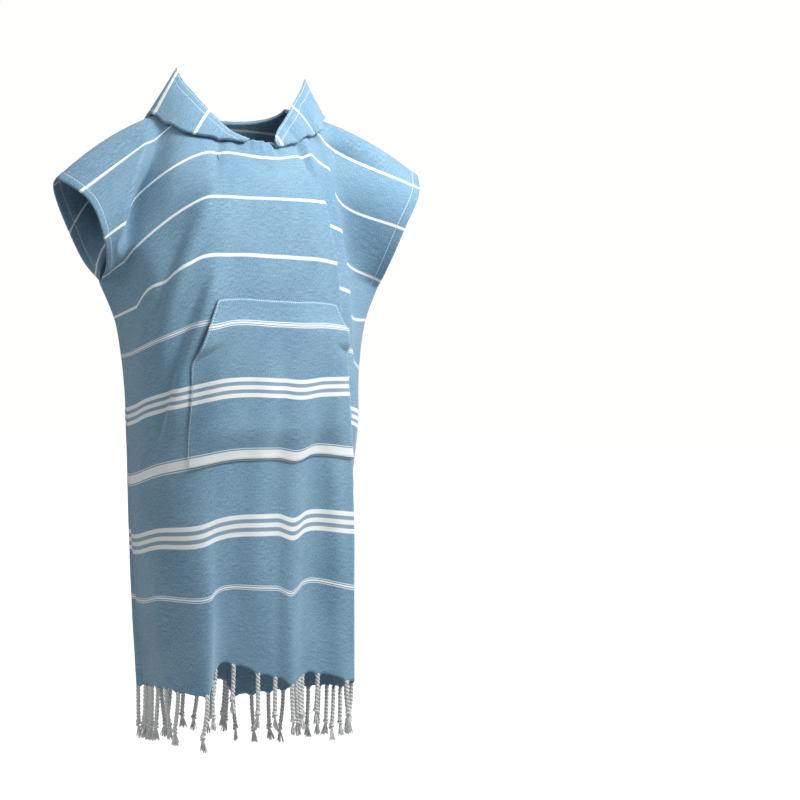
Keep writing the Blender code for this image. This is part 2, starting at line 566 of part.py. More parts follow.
def hood_points(ribs, degrees, side):
    """Rows of the hood's outer face on its ribs: neck seam, under layer, turn and over layer."""
    edge = np.stack([rib_value(ribs, axis, degrees) for axis in "xyz"], axis=-1)
    columns = ("across", "ahead", "lift", "fat", "bulge")
    fold_across, fold_ahead, lift, fat, bulge = (rib_value(ribs, column, degrees) for column in columns)
    fat = np.maximum(fat, LEAST_FAT)
    turns = np.radians(degrees)
    depth = np.where(np.cos(turns) > 0, FRONT_NECK_DEPTH, BACK_NECK_DEPTH)
    seam_across, seam_ahead = side * NECK_HALF * np.sin(turns), depth * np.cos(turns)
    part = np.linspace(0, 1, UNDER_ROWS + 1)[:, None]
    across = seam_across + (fold_across - seam_across) * part
    ahead = seam_ahead + (fold_ahead - seam_ahead) * part
    face, normal = on_shoulders(across, ahead)
    clear = np.where(part > 0, FACET_ROOM, NECK_SEAM_GAP)
    under = face + normal * (clear + lift * ramp(part, 0, 0.7))[..., None]
    last = under[-1]
    out = unit(last - under[-2])
    away = unit(normal[-1] - out * (normal[-1] * out).sum(axis=-1, keepdims=True))
    swing = (math.pi * np.linspace(0, 1, TURN_ROWS + 1)[1:])[:, None, None]
    turn = last + (out * np.sin(swing) + away * (1 - np.cos(swing))) * fat[:, None]
    rise = np.linspace(0, 1, OVER_ROWS + 1)[1:][:, None, None]
    over = turn[-1] + (edge - turn[-1]) * rise + away * bulge[:, None] * np.sin(math.pi * rise)
    return np.concatenate([under, turn, over])


def make_hood_half(name, ribs, side, material):
    degrees = np.arange(1, NECK_COLUMNS + 1) * 180 / NECK_COLUMNS
    points = hood_points(ribs, degrees, side)
    points[:, -1, 0] = side * SEAM_GAP / 2
    # the cloth's thickness goes inwards, into the hood's own hollow
    piece = cloth_object(name, points, material, side=-side)
    for modifier in list(piece.modifiers):
        bpy.ops.object.modifier_apply(modifier=modifier.name)
    for vertex in piece.data.vertices:
        vertex.co.x = side * max(side * vertex.co.x, SEAM_GAP / 2)
    return piece


def make_fringe(name, panel, material):
    """The knotted fringe's reach: a plain curtain that hangs just below the hem."""
    across, heights = panel_grid(panel)
    hem = hang(panel, across[0], heights[0])
    hem[:, 1] -= panel.outward * SEAM_GAP
    drops = np.array([HEM_GAP, FRINGE_LENGTH])
    points = hem[None, :, :] - drops[:, None, None] * np.array([0, 0, 1])
    return cloth_object(name, points[::-1], material, thickness=FRINGE_THICK, side=panel.outward)


def cotton(name, colour, roughness):
    material = bpy.data.materials.new(name)
    material.use_nodes = True
    shader = material.node_tree.nodes["Principled BSDF"]
    shader.inputs["Base Color"].default_value = (*colour, 1)
    shader.inputs["Roughness"].default_value = roughness
    shader.inputs["Metallic"].default_value = 0
    return material


for old in list(bpy.data.objects):
    bpy.data.objects.remove(old)
PONCHO = bpy.data.collections.new("hooded_bath_poncho")
bpy.context.scene.collection.children.link(PONCHO)
cloth = cotton("blue_cotton", (0.162, 0.342, 0.515), 0.9)
yarn = cotton("white_fringe_yarn", (0.75, 0.75, 0.74), 0.9)
make_panel("front_panel", FRONT, cloth)
make_panel("back_panel", BACK, cloth)
make_pocket(cloth)
make_hood_half("hood_left", LEFT_HOOD, -1, cloth)
make_hood_half("hood_right", RIGHT_HOOD, 1, cloth)
make_fringe("fringe_front", FRONT, yarn)
make_fringe("fringe_back", BACK, yarn)
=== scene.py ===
"""The looks of a hooded bath poncho in striped blue cotton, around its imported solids.

Metres, +Z up, the front faces -Y, and the origin is the middle of the neck. The sheets repeat the
sections and folds of the solids in a finer grid, with more and sharper creases. A place on a panel
is given as it was cut: across, from the centre line, and height, above the hem. The same two
numbers are its UV map, so the woven stripes follow the cloth.
"""

import math
import random
from collections import namedtuple

import bpy
import numpy as np
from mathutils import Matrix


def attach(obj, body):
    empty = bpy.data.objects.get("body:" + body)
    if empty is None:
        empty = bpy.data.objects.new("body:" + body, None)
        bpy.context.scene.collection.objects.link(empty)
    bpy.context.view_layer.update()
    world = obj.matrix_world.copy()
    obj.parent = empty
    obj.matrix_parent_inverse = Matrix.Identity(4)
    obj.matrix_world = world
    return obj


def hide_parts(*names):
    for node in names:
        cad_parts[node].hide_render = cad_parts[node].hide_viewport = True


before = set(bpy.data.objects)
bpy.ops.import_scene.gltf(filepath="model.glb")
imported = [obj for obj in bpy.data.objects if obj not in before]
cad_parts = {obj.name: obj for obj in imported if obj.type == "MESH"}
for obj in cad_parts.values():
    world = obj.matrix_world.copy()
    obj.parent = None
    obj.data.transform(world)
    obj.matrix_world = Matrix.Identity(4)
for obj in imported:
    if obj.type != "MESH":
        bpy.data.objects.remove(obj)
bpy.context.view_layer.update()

WALL = 0.002
SEAM_GAP = 0.0003
LAID_ON = 0.0008

CUT_LENGTH = 1.05
SHOULDER_HALF = 0.39
BODY_HALF = 0.325
UNDERARM = 0.795
NECK_HALF = 0.10
FRONT_NECK_DEPTH = 0.115
BACK_NECK_DEPTH = 0.026

SIDE_COLUMNS = 70
NECK_COLUMNS = 48
BODY_ROWS = 150
SLEEVE_ROWS = 52

Middle = namedtuple("Middle", "height y z")
Ends = namedtuple("Ends", "height left_x left_y left_z right_x right_y right_z")
Fullness = namedtuple("Fullness", "height roundness left_bend right_bend")
Fold = namedtuple(
    "Fold",
    "top across_top mid across_mid low across_low depth left_width right_width lean drop",
)
Line = namedtuple("Line", "sharp rows")
Spot = namedtuple("Spot", "height across x y z")
Panel = namedtuple("Panel", "outward middle cuffs left_lines right_lines folds neck_depth")

FRONT_MIDDLE = [
    Middle(1.050, 0.000, -0.008),
    Middle(1.010, -0.036, -0.024),
    Middle(0.935, -0.085, -0.080),
    Middle(0.906, -0.098, -0.110),
    Middle(0.810, -0.134, -0.183),
    Middle(0.715, -0.150, -0.282),
    Middle(0.618, -0.153, -0.390),
    Middle(0.500, -0.152, -0.503),
    Middle(0.380, -0.150, -0.613),
    Middle(0.263, -0.148, -0.733),
    Middle(0.162, -0.145, -0.840),
    Middle(0.000, -0.142, -0.994),
]
BACK_MIDDLE = [
    Middle(1.050, 0.000, -0.008),
    Middle(1.024, 0.040, -0.034),
    Middle(1.010, 0.052, -0.044),
    Middle(0.906, 0.096, -0.122),
    Middle(0.810, 0.105, -0.210),
    Middle(0.715, 0.106, -0.307),
    Middle(0.618, 0.102, -0.405),
    Middle(0.500, 0.100, -0.524),
    Middle(0.380, 0.100, -0.645),
    Middle(0.263, 0.100, -0.762),
    Middle(0.162, 0.100, -0.864),
    Middle(0.000, 0.100, -1.030),
]
SIDES = [
    Ends(0.795, -0.260, 0.000, -0.322, 0.285, 0.000, -0.318),
    Ends(0.715, -0.228, 0.010, -0.382, 0.265, 0.010, -0.378),
    Ends(0.618, -0.212, 0.013, -0.448, 0.254, 0.015, -0.465),
    Ends(0.500, -0.202, 0.013, -0.552, 0.252, 0.015, -0.563),
    Ends(0.380, -0.197, 0.013, -0.660, 0.235, 0.010, -0.672),
    Ends(0.263, -0.189, 0.013, -0.770, 0.212, 0.005, -0.780),
    Ends(0.162, -0.181, 0.013, -0.866, 0.200, 0.000, -0.872),
    Ends(0.000, -0.165, 0.010, -1.015, 0.190, 0.000, -1.040),
]
FRONT_CUFFS = [
    Ends(1.050, -0.345, -0.018, -0.155, 0.365, -0.008, -0.116),
    Ends(1.010, -0.319, -0.055, -0.180, 0.346, -0.045, -0.143),
    Ends(0.906, -0.290, -0.085, -0.256, 0.300, -0.070, -0.219),
    Ends(0.830, -0.268, -0.040, -0.304, 0.286, -0.028, -0.292),
    Ends(0.795, -0.260, 0.000, -0.322, 0.285, 0.000, -0.318),
]
BACK_CUFFS = [
    Ends(1.050, -0.345, -0.018, -0.155, 0.365, -0.008, -0.116),
    Ends(1.010, -0.335, 0.020, -0.162, 0.358, 0.030, -0.125),
    Ends(0.906, -0.294, 0.050, -0.237, 0.318, 0.058, -0.205),
    Ends(0.830, -0.268, 0.030, -0.299, 0.290, 0.034, -0.285),
    Ends(0.795, -0.260, 0.000, -0.322, 0.285, 0.000, -0.318),
]
FULLNESS = [
    Fullness(1.050, 0.00, 2.1, 2.3),
    Fullness(1.010, 0.00, 2.2, 2.6),
    Fullness(0.906, 0.15, 4.0, 3.2),
    Fullness(0.795, 0.65, 3.1, 3.6),
    Fullness(0.715, 0.95, 2.9, 3.6),
    Fullness(0.618, 1.00, 2.4, 3.4),
    Fullness(0.500, 1.00, 2.0, 3.2),
    Fullness(0.000, 1.00, 2.0, 3.0),
]
# lines down the front panel, from the middle outwards, where the cloth turns
LEFT_LAP = Line(False, [
    Spot(1.010, -0.060, -0.055, -0.040, -0.030),
    Spot(0.906, -0.060, -0.058, -0.099, -0.106),
    Spot(0.810, -0.075, -0.073, -0.134, -0.183),
    Spot(0.715, -0.090, -0.088, -0.150, -0.281),
    Spot(0.618, -0.100, -0.098, -0.153, -0.389),
    Spot(0.500, -0.110, -0.108, -0.151, -0.505),
    Spot(0.380, -0.113, -0.111, -0.149, -0.618),
    Spot(0.263, -0.115, -0.113, -0.144, -0.740),
    Spot(0.162, -0.116, -0.110, -0.139, -0.842),
    Spot(0.000, -0.118, -0.110, -0.130, -0.982),
])
LEFT_BREAST = Line(False, [
    Spot(1.010, -0.110, -0.098, -0.042, -0.038),
    Spot(0.906, -0.098, -0.094, -0.100, -0.105),
    Spot(0.810, -0.125, -0.120, -0.133, -0.187),
    Spot(0.715, -0.140, -0.137, -0.145, -0.286),
    Spot(0.618, -0.140, -0.136, -0.146, -0.396),
    Spot(0.500, -0.140, -0.136, -0.145, -0.511),
    Spot(0.380, -0.140, -0.137, -0.143, -0.624),
    Spot(0.263, -0.140, -0.135, -0.144, -0.748),
    Spot(0.162, -0.140, -0.126, -0.148, -0.852),
    Spot(0.000, -0.142, -0.126, -0.150, -1.010),
])
LEFT_FLANK = Line(False, [
    Spot(1.010, -0.160, -0.142, -0.045, -0.055),
    Spot(0.906, -0.172, -0.162, -0.092, -0.132),
    Spot(0.810, -0.195, -0.175, -0.105, -0.219),
    Spot(0.715, -0.205, -0.190, -0.118, -0.324),
    Spot(0.618, -0.220, -0.200, -0.110, -0.424),
    Spot(0.500, -0.210, -0.187, -0.112, -0.525),
    Spot(0.380, -0.225, -0.193, -0.080, -0.642),
    Spot(0.263, -0.225, -0.189, -0.078, -0.756),
    Spot(0.162, -0.225, -0.186, -0.074, -0.855),
    Spot(0.000, -0.215, -0.165, -0.070, -1.012),
])
LEFT_TROUGH = Line(False, [
    Spot(1.010, -0.190, -0.168, -0.036, -0.077),
    Spot(0.960, -0.206, -0.188, -0.046, -0.124),
    Spot(0.906, -0.245, -0.222, -0.046, -0.192),
    Spot(0.860, -0.262, -0.232, -0.052, -0.240),
    Spot(0.810, -0.250, -0.222, -0.072, -0.266),
    Spot(0.715, -0.250, -0.212, -0.088, -0.342),
    Spot(0.618, -0.265, -0.214, -0.066, -0.438),
    Spot(0.500, -0.255, -0.204, -0.070, -0.536),
    Spot(0.380, -0.265, -0.200, -0.042, -0.652),
    Spot(0.263, -0.262, -0.192, -0.040, -0.763),
    Spot(0.162, -0.262, -0.187, -0.038, -0.862),
    Spot(0.000, -0.255, -0.167, -0.038, -1.014),
])
LEFT_RIDGE = Line(True, [
    Spot(1.010, -0.225, -0.198, -0.050, -0.092),
    Spot(0.960, -0.248, -0.222, -0.070, -0.137),
    Spot(0.906, -0.300, -0.253, -0.088, -0.230),
    Spot(0.860, -0.312, -0.262, -0.076, -0.268),
    Spot(0.810, -0.288, -0.236, -0.046, -0.290),
    Spot(0.715, -0.280, -0.217, -0.058, -0.367),
    Spot(0.618, -0.295, -0.214, -0.028, -0.445),
    Spot(0.500, -0.290, -0.204, -0.028, -0.546),
    Spot(0.380, -0.295, -0.199, -0.014, -0.657),
    Spot(0.263, -0.293, -0.191, -0.012, -0.768),
    Spot(0.162, -0.293, -0.184, -0.012, -0.865),
    Spot(0.000, -0.288, -0.167, -0.012, -1.015),
])
RIGHT_LAP = Line(False, [
    Spot(1.010, 0.030, 0.029, -0.037, -0.026),
    Spot(0.906, 0.030, 0.029, -0.098, -0.110),
    Spot(0.810, 0.035, 0.034, -0.133, -0.183),
    Spot(0.715, 0.040, 0.039, -0.149, -0.283),
    Spot(0.618, 0.040, 0.039, -0.152, -0.391),
    Spot(0.500, 0.035, 0.034, -0.153, -0.506),
    Spot(0.380, 0.030, 0.029, -0.153, -0.618),
    Spot(0.263, 0.030, 0.027, -0.152, -0.741),
    Spot(0.162, 0.030, 0.025, -0.151, -0.850),
    Spot(0.000, 0.030, 0.025, -0.150, -1.008),
])
RIGHT_PLAIN = Line(False, [
    Spot(1.010, 0.070, 0.066, -0.042, -0.030),
    Spot(0.906, 0.068, 0.066, -0.094, -0.104),
    Spot(0.810, 0.075, 0.072, -0.130, -0.183),
    Spot(0.715, 0.085, 0.082, -0.146, -0.284),
    Spot(0.618, 0.088, 0.085, -0.148, -0.390),
    Spot(0.500, 0.082, 0.079, -0.144, -0.500),
    Spot(0.380, 0.076, 0.071, -0.140, -0.608),
    Spot(0.263, 0.070, 0.062, -0.137, -0.730),
    Spot(0.162, 0.066, 0.057, -0.135, -0.834),
    Spot(0.000, 0.066, 0.056, -0.134, -0.995),
])
RIGHT_RIDGE = Line(True, [
    Spot(1.010, 0.105, 0.098, -0.045, -0.036),
    Spot(0.906, 0.100, 0.098, -0.090, -0.098),
    Spot(0.810, 0.115, 0.108, -0.122, -0.184),
    Spot(0.715, 0.125, 0.122, -0.137, -0.289),
    Spot(0.618, 0.138, 0.132, -0.138, -0.394),
    Spot(0.500, 0.148, 0.142, -0.136, -0.499),
    Spot(0.380, 0.160, 0.155, -0.131, -0.614),
    Spot(0.263, 0.165, 0.160, -0.130, -0.735),
    Spot(0.162, 0.165, 0.160, -0.130, -0.847),
    Spot(0.000, 0.165, 0.160, -0.130, -1.014),
])
RIGHT_TUCK = Line(False, [
    Spot(1.010, 0.118, 0.108, -0.042, -0.042),
    Spot(0.906, 0.122, 0.116, -0.076, -0.106),
    Spot(0.810, 0.148, 0.114, -0.096, -0.208),
    Spot(0.715, 0.160, 0.127, -0.106, -0.316),
    Spot(0.618, 0.172, 0.136, -0.108, -0.421),
    Spot(0.500, 0.182, 0.147, -0.106, -0.533),
    Spot(0.380, 0.190, 0.160, -0.102, -0.632),
    Spot(0.263, 0.195, 0.165, -0.100, -0.752),
    Spot(0.162, 0.195, 0.165, -0.100, -0.858),
    Spot(0.000, 0.195, 0.165, -0.100, -1.024),
])
RIGHT_EDGE = Line(True, [
    Spot(1.010, 0.150, 0.134, -0.052, -0.058),
    Spot(0.906, 0.163, 0.152, -0.058, -0.118),
    Spot(0.810, 0.195, 0.172, -0.068, -0.227),
    Spot(0.715, 0.218, 0.187, -0.068, -0.333),
    Spot(0.618, 0.232, 0.196, -0.063, -0.438),
    Spot(0.500, 0.242, 0.209, -0.058, -0.556),
    Spot(0.380, 0.240, 0.186, -0.058, -0.652),
    Spot(0.263, 0.240, 0.184, -0.060, -0.770),
    Spot(0.162, 0.238, 0.182, -0.060, -0.866),
    Spot(0.000, 0.236, 0.178, -0.060, -1.034),
])
RIGHT_TROUGH = Line(False, [
    Spot(1.010, 0.175, 0.156, -0.030, -0.066),
    Spot(0.906, 0.228, 0.190, -0.022, -0.166),
    Spot(0.810, 0.255, 0.206, -0.022, -0.277),
    Spot(0.715, 0.278, 0.219, -0.022, -0.376),
    Spot(0.618, 0.285, 0.225, -0.018, -0.455),
    Spot(0.500, 0.288, 0.234, -0.016, -0.561),
    Spot(0.380, 0.285, 0.215, -0.018, -0.668),
    Spot(0.263, 0.285, 0.202, -0.020, -0.777),
    Spot(0.162, 0.284, 0.193, -0.020, -0.871),
    Spot(0.000, 0.282, 0.186, -0.020, -1.038),
])
FRONT_FOLDS = [
    # diagonal creases from the chest down to the left hip
    Fold(0.72, -0.105, 0.545, -0.179, 0.40, -0.222, 0.013, 0.010, 0.034, 0.0, 0.000),
    Fold(0.70, -0.128, 0.545, -0.198, 0.38, -0.236, -0.008, 0.022, 0.012, 0.0, 0.000),
    Fold(0.86, -0.100, 0.720, -0.170, 0.60, -0.225, 0.007, 0.022, 0.016, 0.0, 0.000),
    Fold(0.80, -0.160, 0.700, -0.215, 0.60, -0.262, -0.006, 0.016, 0.018, 0.0, 0.000),
    Fold(0.88, -0.020, 0.740, -0.075, 0.62, -0.118, -0.004, 0.026, 0.026, 0.0, 0.000),
    # soft upright folds over the hips and down to the hem
    Fold(0.60, -0.020, 0.400, -0.035, 0.10, -0.045, 0.005, 0.022, 0.022, 0.0, 0.000),
    Fold(0.50, 0.100, 0.300, 0.095, 0.02, 0.100, -0.005, 0.026, 0.026, 0.0, 0.000),
    Fold(0.40, 0.120, 0.200, 0.135, -0.10, 0.140, 0.006, 0.016, 0.018, 0.0, 0.000),
    # pulls beside the neck edge
    Fold(0.99, 0.062, 0.900, 0.085, 0.82, 0.105, -0.008, 0.010, 0.012, 0.0, 0.000),
    Fold(0.99, -0.070, 0.900, -0.090, 0.82, -0.115, -0.006, 0.012, 0.012, 0.0, 0.000),
]
BACK_FOLDS = [
    # the ridge and deep trough beside the left sleeve, and soft folds beside the right one
    Fold(1.00, -0.110, 0.750, -0.165, -0.10, -0.200, 0.022, 0.018, 0.045, -0.3, 0.000),
    Fold(1.03, -0.150, 0.810, -0.212, 0.50, -0.268, -0.024, 0.038, 0.018, 0.0, 0.000),
    Fold(1.04, 0.180, 0.880, 0.250, 0.72, 0.300, 0.016, 0.014, 0.040, 0.0, 0.000),
    Fold(1.04, 0.146, 0.880, 0.212, 0.70, 0.268, -0.015, 0.022, 0.014, 0.0, 0.000),
    # the lower back folds over towards the right and hangs lower there
    Fold(0.50, 0.030, 0.250, 0.040, -0.10, 0.045, 0.014, 0.010, 0.050, -0.3, 0.034),
    Fold(0.60, -0.080, 0.300, -0.095, -0.10, -0.100, 0.010, 0.030, 0.045, 0.0, 0.000),
    Fold(0.80, 0.090, 0.600, 0.150, 0.40, 0.205, 0.008, 0.026, 0.014, 0.0, 0.000),
    Fold(0.75, 0.020, 0.560, 0.070, 0.36, 0.110, -0.005, 0.024, 0.024, 0.0, 0.000),
    Fold(0.70, -0.050, 0.500, -0.040, 0.20, -0.030, 0.005, 0.022, 0.022, 0.0, 0.000),
]
FRONT_LEFT = [LEFT_LAP, LEFT_BREAST, LEFT_FLANK, LEFT_TROUGH, LEFT_RIDGE]
FRONT_RIGHT = [RIGHT_LAP, RIGHT_PLAIN, RIGHT_RIDGE, RIGHT_TUCK, RIGHT_EDGE, RIGHT_TROUGH]
FRONT = Panel(1, FRONT_MIDDLE, FRONT_CUFFS, FRONT_LEFT, FRONT_RIGHT, FRONT_FOLDS, FRONT_NECK_DEPTH)
BACK = Panel(-1, BACK_MIDDLE, BACK_CUFFS, [], [], BACK_FOLDS, BACK_NECK_DEPTH)

SMALL = 1e-4
MIDDLE_SLOPE = 0.97
CUFF_HEM = 0.016
HEM_STEP = 0.0008
NO_HEM = 1.0
SCALLOP = 0.006
SCALLOP_HALF = 0.012

Cord = namedtuple("Cord", "across swing_x swing_y length")


def along(rows, column, place, key="height"):
    """A smooth curve through one column of a table, read at a place."""
    order = sorted(rows, key=lambda row: getattr(row, key))
    places = np.array([getattr(row, key) for row in order])
    values = np.array([getattr(row, column) for row in order])
    slopes = np.gradient(values, places)
    place = np.clip(place, places[0], places[-1])
    index = np.clip(np.searchsorted(places, place) - 1, 0, len(places) - 2)
    step = places[index + 1] - places[index]
    t = (place - places[index]) / step
    start = values[index] * (1 + 2 * t) * (1 - t) ** 2 + slopes[index] * step * t * (1 - t) ** 2
    end = values[index + 1] * t**2 * (3 - 2 * t) - slopes[index + 1] * step * t**2 * (1 - t)
    return start + end


def ramp(value, low, high):
    """Rises softly from 0 at low to 1 at high."""
    t = np.clip((value - low) / (high - low), 0, 1)
    return t * t * (3 - 2 * t)


def half_width(height):
    """Half of the cut width at a height, wider from the underarm up to the shoulder line."""
    grow = np.clip((height - UNDERARM) / (CUT_LENGTH - UNDERARM), 0, 1)
    return BODY_HALF + (SHOULDER_HALF - BODY_HALF) * grow


def end_value(panel, column, height):
    """One column of the ends: the side seam below the underarm and the panel's cuff above it."""
    return np.where(height > UNDERARM, along(panel.cuffs, column, height), along(SIDES, column, height))


def through_lines(panel, lines, side, across, height):
    """Where a place on one side of a panel hangs, on a smooth curve through that panel's lines."""
    half = half_width(height)
    middle_y, middle_z = (along(panel.middle, axis, height) for axis in "yz")
    middle = np.stack([0 * height, middle_y, middle_z], axis=-1)
    name = "right_" if side > 0 else "left_"
    end = np.stack([end_value(panel, name + axis, height) for axis in "xyz"], axis=-1)
    stops = [0 * height] + [side * along(line.rows, "across", height) for line in lines] + [half]
    inner = [np.stack([along(line.rows, axis, height) for axis in "xyz"], axis=-1) for line in lines]
    spots = [middle] + inner + [end]
    sharp = [False] + [line.sharp for line in lines] + [True]
    steps = [
        (spots[i + 1] - spots[i]) / (stops[i + 1] - stops[i])[..., None]
        for i in range(len(stops) - 1)
    ]
    place = np.clip(side * across, 0, half)
    found = end
    for i in reversed(range(len(steps))):
        gap = stops[i + 1] - stops[i]
        if i == 0:
            first = np.zeros_like(middle) + MIDDLE_SLOPE * np.array([side, 0, 0])
        else:
            first = steps[i] if sharp[i] else turn_slope(steps, stops, i)
        last = steps[i] if sharp[i + 1] else turn_slope(steps, stops, i + 1)
        t = np.clip((place - stops[i]) / gap, 0, 1)[..., None]
        gap = gap[..., None]
        curve = spots[i] * (1 + 2 * t) * (1 - t) ** 2 + first * gap * t * (1 - t) ** 2
        curve = curve + spots[i + 1] * t**2 * (3 - 2 * t) - last * gap * t**2 * (1 - t)
        found = np.where((place <= stops[i + 1])[..., None], curve, found)
    return found


def turn_slope(steps, stops, i):
    """The slope at a line: the mean of the steps on both sides, each weighed by the other's width."""
    before = (stops[i] - stops[i - 1])[..., None]
    after = (stops[i + 1] - stops[i])[..., None]
    return (steps[i - 1] * after + steps[i] * before) / (before + after)


def hang_plain(panel, across, height):
    """Where a place on a panel hangs, before its folds."""
    point = hang_round(panel, across, height)
    if not panel.left_lines:
        return point
    left = through_lines(panel, panel.left_lines, -1, across, height)
    right = through_lines(panel, panel.right_lines, 1, across, height)
    away = ramp(CUT_LENGTH - height, 0.0, 0.045)[..., None]
    return point + (np.where((across < 0)[..., None], left, right) - point) * away


def hang_round(panel, across, height):
    """Where a place hangs on a panel that is round from its middle to its sides."""
    share = np.clip(abs(across) / half_width(height), 0, 1)
    left = across < 0
    end_x, end_y, end_z = (
        np.where(left, end_value(panel, "left_" + axis, height), end_value(panel, "right_" + axis, height))
        for axis in "xyz"
    )
    bend = np.where(left, along(FULLNESS, "left_bend", height), along(FULLNESS, "right_bend", height))
    roundness = along(FULLNESS, "roundness", height)
    mid_y = along(panel.middle, "y", height)
    mid_z = along(panel.middle, "z", height)
    turn = share * math.pi / 2
    x = end_x * ((1 - roundness) * share + roundness * np.sin(turn))
    y = end_y + (mid_y - end_y) * ((1 - roundness) * (1 - share**2) + roundness * np.cos(turn))
    z = mid_z + (end_z - mid_z) * share**bend
    return np.stack([x, y, z], axis=-1)


def outward_normal(surface, panel, across, height):
    """The outward direction of a surface at a place on its panel."""
    inside = np.clip(across, SMALL - half_width(height), half_width(height) - SMALL)
    low = np.clip(height, 2 * SMALL, CUT_LENGTH - 2 * SMALL)
    over = surface(panel, inside + SMALL, low) - surface(panel, inside - SMALL, low)
    up = surface(panel, inside, low + SMALL) - surface(panel, inside, low - SMALL)
    normal = np.cross(over, up) * panel.outward
    return normal / np.linalg.norm(normal, axis=-1, keepdims=True)


def hang(panel, across, height):
    """Where a place on a panel's inner face hangs, with its folds."""
    across, height = np.broadcast_arrays(np.asarray(across, float), np.asarray(height, float))
    point = hang_plain(panel, across, height)
    normal = outward_normal(hang_plain, panel, across, height)
    half = half_width(height)
    calm = ramp(half - abs(across), 0.004, 0.035) * ramp(CUT_LENGTH - height, 0.004, 0.045)
    for fold in panel.folds:
        heights = [fold.low, fold.mid, fold.top]
        centre = np.interp(height, heights, [fold.across_low, fold.across_mid, fold.across_top])
        off = across - centre
        width = np.where(off < 0, fold.left_width, fold.right_width)
        ends = ramp(height, fold.low, fold.low + 0.08) * ramp(fold.top - height, 0, 0.08)
        rise = fold.depth * np.exp(-((off / width) ** 2)) * ends * calm
        point = point + normal * rise[..., None]
        point[..., 0] += fold.lean * rise
        side = 1 if fold.across_mid > 0 else -1
        past = ramp(side * off, -0.012, 0.02)
        left_over = np.clip((half - abs(across)) / np.maximum(half - abs(centre), 0.02), 0, 1)
        point[..., 2] -= fold.drop * past * ends * calm * left_over
    return point


def panel_grid(panel, hem_points):
    """Places of a panel's grid, from left to right and from the hem up, the hem scalloped between cords."""
    neck_share = NECK_HALF / SHOULDER_HALF
    turns = np.linspace(-math.pi / 2, math.pi / 2, NECK_COLUMNS + 1)
    outer = np.linspace(1, neck_share, SIDE_COLUMNS + 1)[:-1]
    shares = np.concatenate([-outer, neck_share * np.sin(turns), outer[::-1]])
    tops = np.full(len(shares), CUT_LENGTH)
    tops[SIDE_COLUMNS : SIDE_COLUMNS + NECK_COLUMNS + 1] = CUT_LENGTH - panel.neck_depth * np.cos(turns)
    body = np.linspace(0, UNDERARM, BODY_ROWS + 1)
    rise = np.linspace(0, 1, SLEEVE_ROWS + 1)[1:]
    heights = np.array([np.concatenate([body, UNDERARM + (top - UNDERARM) * rise]) for top in tops]).T
    across = shares[None, :] * half_width(heights)
    places = np.sort(np.array(hem_points))
    nearest = abs(across[0][:, None] - places[None, :]).min(axis=1)
    scallop = SCALLOP * ramp(nearest, 0, SCALLOP_HALF)
    heights = heights + scallop[None, :] * (1 - ramp(heights, 0, 0.035))
    return across, heights


def select_only(piece):
    bpy.ops.object.select_all(action="DESELECT")
    piece.select_set(True)
    bpy.context.view_layer.objects.active = piece


def sheet_object(name, points, cut, trim, material, thickness=WALL, side=1):
    """A cloth wall on a grid of points, with its cut places and its distances from its hems as UV maps."""
    bpy.ops.object.select_all(action="DESELECT")
    rows, columns = points.shape[:2]
    bpy.ops.mesh.primitive_grid_add(x_subdivisions=columns - 1, y_subdivisions=rows - 1, size=2)
    piece = bpy.context.object
    piece.name = name
    mesh = piece.data
    mesh.name = name
    mesh.vertices.foreach_set("co", points.reshape(-1))
    corner = np.empty(len(mesh.loops), np.int32)
    mesh.loops.foreach_get("vertex_index", corner)
    while mesh.uv_layers:
        mesh.uv_layers.remove(mesh.uv_layers[0])
    for label, values in (("cut", cut), ("trim", trim)):
        layer = mesh.uv_layers.new(name=label)
        layer.data.foreach_set("uv", values.reshape(-1, 2)[corner].reshape(-1))
    mesh.uv_layers.active = mesh.uv_layers["cut"]
    mesh.materials.append(material)
    mesh.update()
    wall = piece.modifiers.new("Wall", "SOLIDIFY")
    wall.thickness = thickness
    wall.offset = side
    wall.use_even_offset = False
    bpy.ops.object.modifier_apply(modifier=wall.name)
    piece.data.shade_smooth()
    return piece


def finish_piece(piece, *nodes, slot="cloth"):
    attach(piece, "root")
    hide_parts(*nodes)


# --- materials -------------------------------------------------------------------------------

Band = namedtuple("Band", "height width")
WHITE_BANDS = [
    Band(1.010, 0.0052),
    Band(0.906, 0.0052),
    Band(0.810, 0.0052),
    Band(0.715, 0.0056),
    Band(0.6215, 0.0012),
    Band(0.618, 0.0026),
    Band(0.6145, 0.0012),
    Band(0.514, 0.0075),
    Band(0.500, 0.0075),
    Band(0.486, 0.0075),
    Band(0.3905, 0.0013),
    Band(0.380, 0.0155),
    Band(0.3695, 0.0013),
    Band(0.277, 0.0075),
    Band(0.263, 0.0075),
    Band(0.249, 0.0075),
    Band(0.1655, 0.0012),
    Band(0.162, 0.0026),
    Band(0.1585, 0.0012),
    Band(0.001, 0.0030),
]
SLATE_BANDS = [Band(0.507, 0.0060), Band(0.493, 0.0060), Band(0.270, 0.0060), Band(0.256, 0.0060)]
BAND_EDGE = 0.0006
THREAD = 0.0011

BLUE_DEEP = (0.100, 0.218, 0.335, 1)
BLUE_PALE = (0.238, 0.385, 0.505, 1)
WHITE_YARN = (0.82, 0.85, 0.87, 1)
SLATE_YARN = (0.250, 0.340, 0.430, 1)
STITCH_PALE = (0.50, 0.63, 0.74, 1)
YARN_DARK = (0.46, 0.47, 0.49, 1)
YARN_PALE = (0.78, 0.79, 0.80, 1)
STITCH_PITCH = 0.0042


